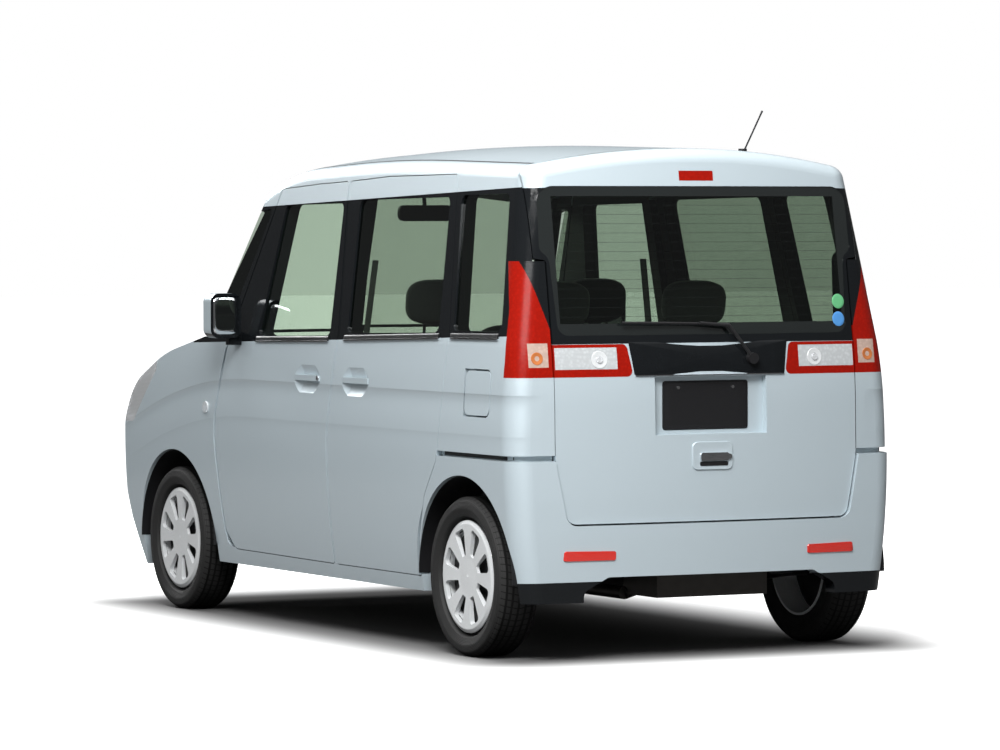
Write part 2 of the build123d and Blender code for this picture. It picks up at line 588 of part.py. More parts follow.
def tailgate(wall, shell30):
    face = both_sides([(a, b, r) for a, b, r in TAILGATE_FACE])
    gate = wall & cross_prism(grown(face, -GAP / 2), -1800, TAILGATE_SEAM_X - GAP / 2)
    gate -= cross_prism(both_sides(TAILGATE_GLASS_FACE), -1800, -1400)
    gate -= shell30 & cross_prism(REAR_LAMP_INNER, -1800, -1500)
    gate -= flip(shell30 & cross_prism(REAR_LAMP_INNER, -1800, -1500))
    gate -= shell30 & box(-1800, -1500, -66, 66, 1602, 1636)
    gate -= box(-1800, -1650, -215, 215, 752, 945)
    leaves = Part()
    for y in TAILGATE_HINGE_YS:
        leaf, notch = hinge((TAILGATE_HINGE_X, y, TAILGATE_HINGE_Z), Vector(1, 0, 0), Vector(0, 0, 1), 110, 60, 32)
        leaves += leaf
        gate -= notch
    return gate, leaves


def roof_panel(wall, leaves):
    panel = wall & box(TAILGATE_SEAM_X + GAP / 2, 900, -560, 560, 1480, 1800)
    panel -= cross_prism(WINDSCREEN_FACE, 300, 1300)
    swing = Plane.XY * make_face(Wire([Line((-570, 0), (-570, 42.5)), ThreePointArc((-570, 42.5), (0, 60.5), (570, 42.5)),
                                       Line((570, 42.5), (570, 0)), Line((570, 0), (-570, 0))]))
    spindle = revolve(swing, Axis.X, 360)
    panel -= Pos(TAILGATE_HINGE_X, 0, TAILGATE_HINGE_Z) * Rot(0, 0, 90) * spindle
    return panel + leaves


def tyre():
    rows = [(RIM_R + SEAT_GAP, -66, 0), (RIM_R + SEAT_GAP, 42, 0), (197, 42, 0), (206, 68, 8),
            (232, TYRE_W / 2, 20), (256, 75, 12), (TYRE_R, 57, 10), (TYRE_R, -57, 10), (256, -75, 12),
            (232, -TYRE_W / 2, 20), (206, -70, 12)]
    return revolve(Plane.XY * outline(rows), Axis.Y, 360)


def wheel():
    """Rim, disc, hub sleeve and the eight-spoked cover, spun about Y with the outer face towards +Y."""
    rim = revolve(Plane.XY * outline([(170, -70, 0), (RIM_R, -70, 0), (RIM_R, 41, 0), (170, 41, 0)]), Axis.Y, 360)
    disc = revolve(Plane.XY * outline([(SPINDLE_R + RUN_FIT, -30, 0), (34, -30, 0), (34, 24, 6), (171, 24, 0),
                                       (171, 32, 0), (SPINDLE_R + RUN_FIT, 32, 0)]), Axis.Y, 360)
    cover = revolve(Plane.XY * outline([(0, 50, 0), (60, 50, 0), (175, 46, 0), (186, 50, 0), (193, 58, 4), (178, 66, 8),
                                        (60, 60, 20), (0, 62, 0)]), Axis.Y, 360)
    for k in range(8):
        turn = 22.5 + 45 * k
        hole = extrude(Plane.XZ.offset(-80) * outline([(72, -13, 8), (72, 13, 8), (160, 42, 14), (166, -30, 14)]), amount=40)
        cover -= Rot(0, turn, 0) * hole
    cover += revolve(Plane.XY * outline([(160, 31, 0), (171, 31, 0), (171, 50, 0), (160, 50, 0)]), Axis.Y, 360)
    return rim + disc + cover


def knuckle():
    z = TYRE_R
    part = box(FRONT_AXLE_X - 24, FRONT_AXLE_X + 24, KINGPIN_Y - 8, KINGPIN_Y + 8, 210, 330)
    part += Pos(FRONT_AXLE_X, KINGPIN_Y, 206) * Cylinder(17, 26) + Pos(FRONT_AXLE_X, KINGPIN_Y, 333) * Cylinder(17, 26)
    part += rod((FRONT_AXLE_X, KINGPIN_Y, z), (FRONT_AXLE_X, KINGPIN_Y + 16, z), 34)
    part += rod((FRONT_AXLE_X, KINGPIN_Y, z), (FRONT_AXLE_X, TRACK_Y + 30, z), SPINDLE_R)
    for z0, z1 in ((180, 219.5), (319.5, 360)):
        part -= rod((FRONT_AXLE_X, KINGPIN_Y, z0), (FRONT_AXLE_X, KINGPIN_Y, z1), 8 + RUN_FIT)
    return part


def front_suspension():
    part = box(1080, 1240, -329, 329, 165, 240)
    part += rod((1055, -330, 225), (1055, 330, 225), 24)
    part += box(1040, 1090, -300, -240, 200, 240) + box(1040, 1090, 240, 300, 200, 240)
    for s in (1, -1):
        part += box(1090, 1230, s * 300, s * 390, 215, 299.7)
        rows = [(1095, 320, 0), (1235, 320, 0), (1182, 590, 0), (1182, 620, 18), (1143, 620, 18), (1143, 590, 0)]
        arm = plan_prism(rows, 165, 191)
        part += arm if s > 0 else flip(arm)
        part += rod((FRONT_AXLE_X, s * KINGPIN_Y, 180), (FRONT_AXLE_X, s * KINGPIN_Y, 217), 8)
        part += box(FRONT_AXLE_X - 17, FRONT_AXLE_X + 17, s * 480, s * 617, 348, 364)
        part += rod((FRONT_AXLE_X, s * KINGPIN_Y, 322), (FRONT_AXLE_X, s * KINGPIN_Y, 360), 8)
        part += rod((FRONT_AXLE_X, s * 500, 340), (FRONT_AXLE_X, s * 500, 787.7), 27)
        part += rod((FRONT_AXLE_X, s * 500, 600), (FRONT_AXLE_X, s * 500, 787.7), 62)
        part += box(1150, 1175, s * 405.3, s * 490, 680, 700)
    return part


def rear_axle():
    part = box(-1130, -1060, -505, 505, 215, 270)
    for s in (1, -1):
        rows = [(-870, 195, 20), (-870, 249.7, 0), (-1035, 249.7, 0), (-1240, 305, 0), (-1310, 305, 30),
                (-1310, 235, 30), (-1030, 195, 0)]
        arm = side_prism(rows, 495, 530)
        part += arm if s > 0 else flip(arm)
        part += rod((REAR_AXLE_X, s * 500, TYRE_R), (REAR_AXLE_X, s * 612, TYRE_R), 40)
        part += rod((REAR_AXLE_X, s * 600, TYRE_R), (REAR_AXLE_X, s * (TRACK_Y + 30), TYRE_R), SPINDLE_R)
        part += box(-1170, -1050, s * 400, s * 510, 240, 262)
        part += rod((-1100, s * 430, 255), (-1100, s * 430, 357.7), 45)
        part += rod((-1330, s * 430, 250), (-1330, s * 430, 357.7), 22)
        part += box(-1345, -1300, s * 420, s * 510, 245, 280)
    return part


def seat(width):
    """One seat: cushion, raked back and headrest on posts."""
    cushion = side_prism([(-130, 330, 20), (360, 330, 20), (385, 470, 60), (-120, 440, 20)], -width / 2, width / 2)
    back = side_prism([(-165, 400, 20), (-60, 430, 30), (-215, 1040, 40), (-300, 1030, 40)], -width / 2 + 20, width / 2 - 20)
    head = side_prism([(-285, 1090, 25), (-205, 1095, 25), (-240, 1270, 30), (-305, 1265, 30)], -130, 130)
    posts = rod((-250, -50, 1000), (-258, -50, 1150), 7) + rod((-250, 50, 1000), (-258, 50, 1150), 7)
    stand = box(-100, 300, -width / 2 + 60, width / 2 - 60, FLOOR_Z + SEAT_GAP, 345)
    return cushion + back + head + posts + stand


def parts():
    nodes = {}
    body = hull()
    wall = body - cabin_space()
    shells = {t: body - hull(t) for t in (SKIN_T, 20, 25, 60)}
    left_wall = wall & box(-1800, 1100, 300, 800, 200, 1800)
    left_wall -= box(-1800, 1100, 0, CABIN_Y, 0, FLOOR_Z)

    door = front_door_left(left_wall)
    nodes["front_door_left"] = door
    nodes["front_door_right"] = flip(door)
    slider = left_wall & side_prism(grown(SLIDING_DOOR, -GAP / 2), 400, 800)
    slider -= side_prism(SLIDING_WINDOW, 400, 800)
    slider -= arch(REAR_AXLE_X, REAR_ARCH_R + 25, 400, 800)
    bowl, bar = handle(HANDLE_XS[1])
    slider = slider - bowl + bar
    nodes["sliding_doors"] = [slider, flip(slider)]

    side = side_left(left_wall, shells[20])
    flap, pocket, ears = fuel_flap(left_wall)
    nodes["fuel_flap"] = flap
    nodes["side_left"] = side - pocket + ears
    nodes["side_right"] = flip(side)

    gate, leaves = tailgate(wall, shells[25])
    nodes["tailgate"] = gate
    nodes["roof_panel"] = roof_panel(wall, leaves)
    fender, lamp, bumper = front_end(shells[SKIN_T], shells[25], shells[60])
    nodes["fenders"] = [fender, flip(fender)]
    nodes["headlamps"] = [lamp, flip(lamp)]
    nodes["front_bumper"] = bumper
    nodes["bonnet"] = bonnet(shells[SKIN_T])
    nodes["floor_pan"] = [floor_pan(), firewall(cowl(shells[SKIN_T])), front_panel()]
    for piece in (front_frame(), front_wheelhouse(), rear_wheelhouse()):
        nodes["floor_pan"] += [piece, flip(piece)]

    nodes["rear_bumper"] = rear_bumper()

    lamp = shells[60] & side_prism(grown(TAIL_LAMP_ZONE, -SEAT_GAP), TAILGATE_LOW_Y + GAP / 2, 800)
    nodes["tail_lamps"] = [lamp, flip(lamp)]
    inner = shells[25] & cross_prism(grown(REAR_LAMP_INNER, -SEAT_GAP), -1800, -1500)
    inner &= cross_prism(grown(both_sides(TAILGATE_FACE), -GAP / 2), -1800, -1400)
    stop = shells[20] & box(-1800, -1500, -65.7, 65.7, 1602.3, 1635.7)
    nodes["tailgate_lamps"] = [inner, flip(inner), stop]

    screen_outline = cross_prism(grown(WINDSCREEN_FACE, -SEAT_GAP), 300, 1300)
    nodes["windscreen"] = (screen_form(4) - screen_form(4 + GLASS_T)) & screen_outline
    back_outline = cross_prism(grown(both_sides(TAILGATE_GLASS_FACE), -SEAT_GAP), -1800, -1400)
    nodes["tailgate_glass"] = (tail_form(3) - tail_form(3 + GLASS_T)) & back_outline
    pane = glass(FRONT_WINDOW, 8)
    nodes["front_door_glass_left"] = pane
    nodes["front_door_glass_right"] = flip(pane)
    panes = [glass(rows, 8) for rows in (SLIDING_WINDOW, FRONT_QUARTER, REAR_QUARTER)]
    nodes["side_glass"] = panes + [flip(p) for p in panes]

    mirror_left = door_mirror()
    nodes["mirror_left"] = mirror_left
    nodes["mirror_right"] = flip(mirror_left)
    nodes["antenna"] = antenna()
    nodes["rear_wiper"] = rear_wiper()
    nodes["front_wipers"] = front_wipers()

    one_tyre, one_wheel = tyre(), wheel()
    for name, x, s in (("front_left", FRONT_AXLE_X, 1), ("front_right", FRONT_AXLE_X, -1),
                       ("rear_left", REAR_AXLE_X, 1), ("rear_right", REAR_AXLE_X, -1)):
        place = Pos(x, s * TRACK_Y, TYRE_R)
        nodes["tyre_" + name] = place * (one_tyre if s > 0 else flip(one_tyre))
        nodes["wheel_" + name] = place * (one_wheel if s > 0 else flip(one_wheel))
    nodes["knuckle_left"] = knuckle()
    nodes["knuckle_right"] = flip(knuckle())
    nodes["front_suspension"] = front_suspension()
    nodes["rear_axle"] = rear_axle()
    nodes["engine"] = box(1085, 1400, -290, 290, 240.3, 700)
    nodes["exhaust"] = rod((900, 100, 192.7), (-1250, 100, 192.7), 22) + \
        rod((-1250, 100, 192.7), (-1250, -60, 240), 22) + \
        box(-1480, -1240, -330, 100, 190, 330)
    nodes["fuel_tank"] = box(-510, -960, -290, 60, 170, 249.7)
    dash = side_prism([(600, 640, 30), (FIREWALL_X - SEAT_GAP, 600, 0), (FIREWALL_X - SEAT_GAP, 940, 0),
                                     (820, 1000, 40), (620, 960, 60)], -575, 575)
    nodes["dashboard"] = dash
    ring = Pos(430, -330, 905) * Rot(0, 25 - 90, 0) * (Torus(175, 14) + Cylinder(45, 30) + Box(26, 340, 12))
    nodes["steering_wheel"] = ring + rod((430, -330, 905), (608, -330, 822), 24) - dash
    nodes["front_seats"] = [Pos(0, s * 320, 0) * seat(520) for s in (1, -1)]
    nodes["rear_seat"] = Pos(-820, 0, 0) * seat(1040)
    return nodes


def main():
    os.makedirs("parts", exist_ok=True)
    for name, shape in parts().items():
        solids = []
        for item in (shape if isinstance(shape, list) else [shape]):
            solids += item.solids()
        export_step(Compound(children=solids) if len(solids) > 1 else solids[0], "parts/" + name + ".step")


if __name__ == "__main__":
    main()
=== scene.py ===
import bpy
import bmesh
import math
from mathutils import Matrix, Vector
from mathutils.bvhtree import BVHTree


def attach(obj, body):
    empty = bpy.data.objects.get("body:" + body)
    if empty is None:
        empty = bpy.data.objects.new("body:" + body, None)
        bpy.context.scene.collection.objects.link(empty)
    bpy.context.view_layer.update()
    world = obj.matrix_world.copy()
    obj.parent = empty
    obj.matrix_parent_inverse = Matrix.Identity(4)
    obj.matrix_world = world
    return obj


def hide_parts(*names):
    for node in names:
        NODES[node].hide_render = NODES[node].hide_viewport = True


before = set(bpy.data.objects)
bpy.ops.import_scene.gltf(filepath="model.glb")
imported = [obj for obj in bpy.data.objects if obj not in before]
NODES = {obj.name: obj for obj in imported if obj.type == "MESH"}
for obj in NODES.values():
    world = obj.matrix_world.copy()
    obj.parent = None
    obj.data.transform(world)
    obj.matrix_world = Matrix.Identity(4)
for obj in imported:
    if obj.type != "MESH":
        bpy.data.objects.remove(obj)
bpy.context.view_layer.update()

HANDS = (("left", 1), ("right", -1))

# Colours, linear
PAINT = (0.455, 0.53, 0.57)
BLACK = (0.006, 0.007, 0.008)
WHITE = (1, 1, 1)
LAMP_RED = (0.26, 0.006, 0.002)

# Wheels, in metres
FRONT_AXLE_X = 1.1625
REAR_AXLE_X = -1.2625
AXLE_Z = 0.27
TRACK_Y = 0.6475

# Black bands in the paint: lowest and highest height at x 0, and their rise for each metre towards the tail;
# on the sides and the tailgate they are black paint, on the rear bumper painted shade
BAND_RISE = 0.027
SIDE_BAND = (1.0425, 1.539)
TAIL_BAND = (1.0135, 1.536)
BUMPER_X = -1.62
# Painted shade on the rear bumper: gloss black below this height stands in for the dark underside, and hides
# that the bumper's lower edge sits about 60 mm lower than the real one's
BUMPER_SHADE_TOP = 0.268
BUMPER_SHADE_BAND = (-9.0, BUMPER_SHADE_TOP + BUMPER_X * BAND_RISE)

# Creases along the sides: height, reach of the hollow below and depth; they droop ahead of an x
CREASES = ((0.890, 0.035, 0.0050), (0.752, 0.03, 0.0012))
DROOP_X = 0.5
DROOP_RATE = 0.16
CREASE_INNER_Y = 0.62
CREASE_FADE = 0.09

# Tyre tread, in metres, with the sipes' count round the tyre, slant and share of the tread
TREAD_RADIUS = 0.2605
TREAD_DEPTH = 0.006
GROOVE_PLACES = (0.0, 0.026, 0.05)
GROOVE_HALF_WIDTH = 0.0042
SIPE_COUNT = 72
SIPE_SLANT = 9.0
SIPE_SHARE = 0.16
RIB_WAVE = 1400.0
RIB_DEPTH = 0.06

# The black wedge in the outer rear lamps: where it starts, how high it rises, and its edge's |y| at the
# start and how far it moves outward by the top
WEDGE_FOOT = 1.10
WEDGE_HEIGHT = 0.23
WEDGE_Y = 0.582
WEDGE_WIDTH = 0.078

# Rear window: pitch of the heating lines, the share of the pitch that a line fills and how dark it is
HEATING_PITCH = 0.031
HEATING_WIDTH = 0.05
HEATING_DARKNESS = 0.35

# Depth of the grain that a bump shows, in metres
GRAIN_DEPTH = 0.001

# Sockets of the Mix node when it mixes colours: share, first colour, second colour and result
MIX_INPUTS = (0, 6, 7)
MIX_RESULT = 2


def make(name):
    """A new material, its node tree and its output node."""
    material = bpy.data.materials.new(name)
    material.use_nodes = True
    tree = material.node_tree
    tree.nodes.clear()
    return material, tree, tree.nodes.new("ShaderNodeOutputMaterial")


def add(tree, kind, **values):
    """A node with some of its inputs and settings changed."""
    node = tree.nodes.new(kind)
    for key, value in values.items():
        if key in node.inputs:
            node.inputs[key].default_value = value
        else:
            setattr(node, key, value)
    return node


def feed(tree, socket, value):
    """Gives an input a number, a colour or the output of another node."""
    if isinstance(value, bpy.types.NodeSocket):
        tree.links.new(value, socket)
    elif isinstance(value, tuple):
        socket.default_value = (*value, 1)
    else:
        socket.default_value = value


def compute(tree, operation, *values):
    """A Math node fed by numbers or outputs; gives its output."""
    node = add(tree, "ShaderNodeMath", operation=operation)
    for socket, value in zip(node.inputs, values):
        feed(tree, socket, value)
    return node.outputs[0]


def limited(tree, value):
    """A value kept between 0 and 1."""
    return compute(tree, "MINIMUM", compute(tree, "MAXIMUM", value, 0.0), 1.0)


def past(tree, value, start):
    """How far a value is past a start, or 0 before it."""
    return compute(tree, "MAXIMUM", compute(tree, "SUBTRACT", value, start), 0.0)


def distance(tree, a, b):
    """The length of the vector (a, b)."""
    squares = compute(tree, "ADD", compute(tree, "MULTIPLY", a, a), compute(tree, "MULTIPLY", b, b))
    return compute(tree, "SQRT", squares)


def highest(tree, values):
    """The highest of some outputs."""
    top = values[0]
    for value in values[1:]:
        top = compute(tree, "MAXIMUM", top, value)
    return top


def inside_range(tree, value, low, high):
    """1 where a value is between low and high, elsewhere 0."""
    over = compute(tree, "GREATER_THAN", value, low)
    return compute(tree, "MULTIPLY", over, compute(tree, "LESS_THAN", value, high))


def place_axes(tree):
    """The x, y and z of a point in the object's own frame, with |y| as the fourth."""
    where = add(tree, "ShaderNodeTexCoord")
    split = add(tree, "ShaderNodeSeparateXYZ")
    tree.links.new(where.outputs["Object"], split.inputs[0])
    x, y, z = split.outputs
    return x, y, z, compute(tree, "ABSOLUTE", y)


def texture(tree, kind, **values):
    """A texture in the object's own coordinates."""
    where = add(tree, "ShaderNodeTexCoord")
    node = add(tree, kind, **values)
    tree.links.new(where.outputs["Object"], node.inputs["Vector"])
    return node


def map_range(tree, value, source, target, blend="LINEAR"):
    """Maps an output from the range source to the range target."""
    node = add(tree, "ShaderNodeMapRange", interpolation_type=blend)
    for name, end in zip(("From Min", "From Max", "To Min", "To Max"), (*source, *target)):
        node.inputs[name].default_value = end
    tree.links.new(value, node.inputs["Value"])
    return node.outputs[0]


def mix_colours(tree, share, first, second, blend="MIX"):
    """Mixes two colours, or outputs, by a share."""
    node = add(tree, "ShaderNodeMix", data_type="RGBA", blend_type=blend)
    for index, value in zip(MIX_INPUTS, (share, first, second)):
        feed(tree, node.inputs[index], value)
    return node.outputs[MIX_RESULT]


def mix_shaders(tree, share, first, second):
    """Mixes the outputs of two shaders by a share."""
    node = add(tree, "ShaderNodeMixShader")
    for socket, value in zip(node.inputs, (share, first, second)):
        feed(tree, socket, value)
    return node.outputs[0]


def shader(tree, out, **values):
    """A principled shader on the output; an underscore in a name stands for a space."""
    bsdf = add(tree, "ShaderNodeBsdfPrincipled")
    for key, value in values.items():
        feed(tree, bsdf.inputs[key.replace("_", " ")], value)
    tree.links.new(bsdf.outputs[0], out.inputs[0])
    return bsdf


def relief(tree, bsdf, height, strength, depth=GRAIN_DEPTH, sockets=("Normal",)):
    """Presses a height into the normals of a shader."""
    bump = add(tree, "ShaderNodeBump", Strength=strength, Distance=depth)
    tree.links.new(height, bump.inputs["Height"])
    for name in sockets:
        tree.links.new(bump.outputs["Normal"], bsdf.inputs[name])


def scaled(colour, factor):
    """A colour made darker or brighter."""
    return tuple(min(channel * factor, 1) for channel in colour)


def crease_height(tree, x, z, side):
    """Height of the relief below the creases, on the sides of the body only."""
    ahead = past(tree, x, DROOP_X)
    droop = compute(tree, "MULTIPLY", compute(tree, "MULTIPLY", ahead, ahead), DROOP_RATE)
    total = 0.0
    for level, reach, depth in CREASES:
        below = compute(tree, "SUBTRACT", compute(tree, "SUBTRACT", level, droop), z)
        share = compute(tree, "MULTIPLY", compute(tree, "MAXIMUM", below, 0.0), 1 / reach)
        fade = compute(tree, "EXPONENT", compute(tree, "SUBTRACT", 1.0, share))
        hollow = compute(tree, "MULTIPLY", compute(tree, "MULTIPLY", share, fade), depth)
        total = compute(tree, "SUBTRACT", total, hollow)
    outward = compute(tree, "MULTIPLY_ADD", side, 1 / CREASE_FADE, -CREASE_INNER_Y / CREASE_FADE)
    return compute(tree, "MULTIPLY", total, limited(tree, outward))


def paint_material(name="body_paint", band=None):
    """Metallic lacquer with creases along the sides, gloss black between the heights of a band: black paint
    on the sides and tailgate, painted shade on the rear bumper.
    """
    material, tree, out = make(name)
    paint = shader(tree, out, Base_Color=PAINT, Metallic=0.3, Roughness=0.4, Coat_Weight=0.6,
                   Coat_Roughness=0.05)
    flakes = texture(tree, "ShaderNodeTexVoronoi", Scale=2200.0)
    tone = map_range(tree, flakes.outputs["Distance"], (0.0, 1.0), (0.92, 1.06))
    tree.links.new(mix_colours(tree, 1.0, PAINT, tone, "MULTIPLY"), paint.inputs["Base Color"])
    x, y, z, side = place_axes(tree)
    relief(tree, paint, crease_height(tree, x, z, side), 1.0, 1.0, ("Normal", "Coat Normal"))
    if band:
        black = shader(tree, out, Base_Color=BLACK, Roughness=0.1, Specular_IOR_Level=0.2)
        level = compute(tree, "MULTIPLY_ADD", x, BAND_RISE, z)
        mix = mix_shaders(tree, inside_range(tree, level, *band), paint.outputs[0], black.outputs[0])
        tree.links.new(mix, out.inputs[0])
    return material


def plain(name, colour, roughness, metallic=0.0, bump=(60.0, 0.15), coat=0.0, specular=0.5):
    """Moulded or painted surface with uneven tone and a grain; bump is the grain's scale and strength."""
    material, tree, out = make(name)
    bsdf = shader(tree, out, Base_Color=colour, Roughness=roughness, Metallic=metallic, Coat_Weight=coat,
                  Specular_IOR_Level=specular)
    scale, strength = bump
    grain = texture(tree, "ShaderNodeTexNoise", Scale=scale, Detail=4).outputs["Fac"]
    relief(tree, bsdf, grain, strength)
    tone = mix_colours(tree, grain, scaled(colour, 0.85), scaled(colour, 1.12))
    tree.links.new(tone, bsdf.inputs["Base Color"])
    return material


def glass_material(name, colour, clear, border=None, heating=False):
    """Tinted safety glass: dims what is behind it and mirrors the studio from outside.
    With a border, it is black beyond a |y| and outside two heights, and may have heating lines inside."""
    material, tree, out = make(name)
    see = add(tree, "ShaderNodeBsdfTransparent")
    feed(tree, see.inputs[0], colour)
    gloss = add(tree, "ShaderNodeBsdfGlossy", Roughness=0.02)
    feed(tree, gloss.inputs[0], (0.9, 0.95, 0.95))
    body = shader(tree, out, Base_Color=(0.008, 0.01, 0.01), Roughness=0.08)
    x, y, z, side = place_axes(tree)
    solid = 1 - clear
    if border:
        clear_y, low, high = border
        opening = compute(tree, "MULTIPLY", compute(tree, "LESS_THAN", side, clear_y),
                          inside_range(tree, z, low, high))
        dark = [compute(tree, "SUBTRACT", 1.0, opening)]
        if heating:
            wave = compute(tree, "FRACT", compute(tree, "MULTIPLY", z, 1 / HEATING_PITCH))
            line = compute(tree, "LESS_THAN", wave, HEATING_WIDTH)
            dark.append(compute(tree, "MULTIPLY", line, HEATING_DARKNESS))
        solid = highest(tree, dark + [1 - clear])
    pane = mix_shaders(tree, solid, see.outputs[0], body.outputs[0])
    facing = add(tree, "ShaderNodeFresnel", IOR=1.45)
    geometry = add(tree, "ShaderNodeNewGeometry")
    outside = compute(tree, "SUBTRACT", 1.0, geometry.outputs["Backfacing"])
    mirror = compute(tree, "MULTIPLY", facing.outputs[0], outside)
    tree.links.new(mix_shaders(tree, mirror, pane, gloss.outputs[0]), out.inputs[0])
    return material


def flutes(tree, bsdf, scale, strength):
    """Fine flutes across a lamp's lens."""
    wave = texture(tree, "ShaderNodeTexWave", Scale=scale, bands_direction="Z")
    relief(tree, bsdf, wave.outputs["Fac"], strength)


def two_tone_lens(name, zones, base, inner, dark_wedge=False):
    """Lamp lens with a reflector's facets behind it, painted into its colour as cells with a painted
    highlight in their middles, in another colour inside zones of |y| and z.
    """
    material, tree, out = make(name)
    bsdf = shader(tree, out, Base_Color=base, Roughness=0.25, Specular_IOR_Level=0.12, Coat_Weight=0.03,
                  Coat_Roughness=0.02)
    x, y, z, side = place_axes(tree)
    inside = [compute(tree, "MULTIPLY", inside_range(tree, side, y0, y1), inside_range(tree, z, z0, z1))
              for y0, y1, z0, z1 in zones]
    colour = mix_colours(tree, highest(tree, inside), base, inner)
    # Painted highlight: each facet cell is lighter in its middle and darker at its edge
    cells = texture(tree, "ShaderNodeTexVoronoi", Scale=85.0)
    glow = map_range(tree, cells.outputs["Distance"], (0.0, 0.6), (1.05, 0.86))
    colour = mix_colours(tree, 1.0, colour, glow, "MULTIPLY")
    if dark_wedge:
        climb = compute(tree, "MULTIPLY_ADD", z, 1 / WEDGE_HEIGHT, -WEDGE_FOOT / WEDGE_HEIGHT)
        edge = compute(tree, "MULTIPLY_ADD", limited(tree, climb), WEDGE_WIDTH, WEDGE_Y)
        colour = mix_colours(tree, compute(tree, "LESS_THAN", side, edge), colour, BLACK)
    tree.links.new(colour, bsdf.inputs["Base Color"])
    flutes(tree, bsdf, 70.0, 0.25)
    return material


def lens_material(name, colour, transmission):
    """Moulded lamp lens with fine flutes inside."""
    material, tree, out = make(name)
    bsdf = shader(tree, out, Base_Color=colour, Roughness=0.06, Coat_Weight=1.0, Coat_Roughness=0.02,
                  Transmission_Weight=transmission)
    flutes(tree, bsdf, 60.0, 0.35)
    return material


def tyre_material(name, axle_x):
    """Rubber with grooves round the tread, sipes across it and fine ribs on the sidewalls; the grooves and
    sipes are darker, with painted shade.
    """
    material, tree, out = make(name)
    bsdf = shader(tree, out, Base_Color=(0.009, 0.010, 0.010), Roughness=0.65, Specular_IOR_Level=0.2)
    x, y, z, side = place_axes(tree)
    ahead = compute(tree, "SUBTRACT", x, axle_x)
    above = compute(tree, "SUBTRACT", z, AXLE_Z)
    radius = distance(tree, ahead, above)
    turn = compute(tree, "ARCTAN2", above, ahead)
    across = compute(tree, "ABSOLUTE", compute(tree, "SUBTRACT", side, TRACK_Y))
    cuts = []
    for place in GROOVE_PLACES:
        off = compute(tree, "ABSOLUTE", compute(tree, "SUBTRACT", across, place))
        cuts.append(compute(tree, "LESS_THAN", off, GROOVE_HALF_WIDTH))
    steps = compute(tree, "MULTIPLY", turn, SIPE_COUNT / (2 * math.pi))
    slant = compute(tree, "MULTIPLY_ADD", across, SIPE_SLANT, steps)
    cuts.append(compute(tree, "LESS_THAN", compute(tree, "FRACT", slant), SIPE_SHARE))
    tread = compute(tree, "GREATER_THAN", radius, TREAD_RADIUS)
    groove_and_shade = compute(tree, "MULTIPLY", tread, highest(tree, cuts))
    wave = compute(tree, "SINE", compute(tree, "MULTIPLY", radius, RIB_WAVE))
    rib = compute(tree, "MULTIPLY", wave, RIB_DEPTH)
    relief(tree, bsdf, compute(tree, "SUBTRACT", rib, groove_and_shade), 1.0, TREAD_DEPTH)
    # Painted shade: the grooves and sipes get a darker rubber colour
    tone = mix_colours(tree, groove_and_shade, (0.02, 0.02, 0.02), (0.004, 0.004, 0.004))
    tree.links.new(tone, bsdf.inputs["Base Color"])
    return material


def fabric_material(name, colour):
    """Woven seat cloth."""
    material, tree, out = make(name)
    bsdf = shader(tree, out, Base_Color=colour, Roughness=0.9, Sheen_Weight=0.35)
    weave = texture(tree, "ShaderNodeTexVoronoi", Scale=420.0).outputs["Distance"]
    relief(tree, bsdf, weave, 0.5)
    tone = mix_colours(tree, weave, scaled(colour, 0.6), scaled(colour, 1.4))
    tree.links.new(tone, bsdf.inputs["Base Color"])
    return material


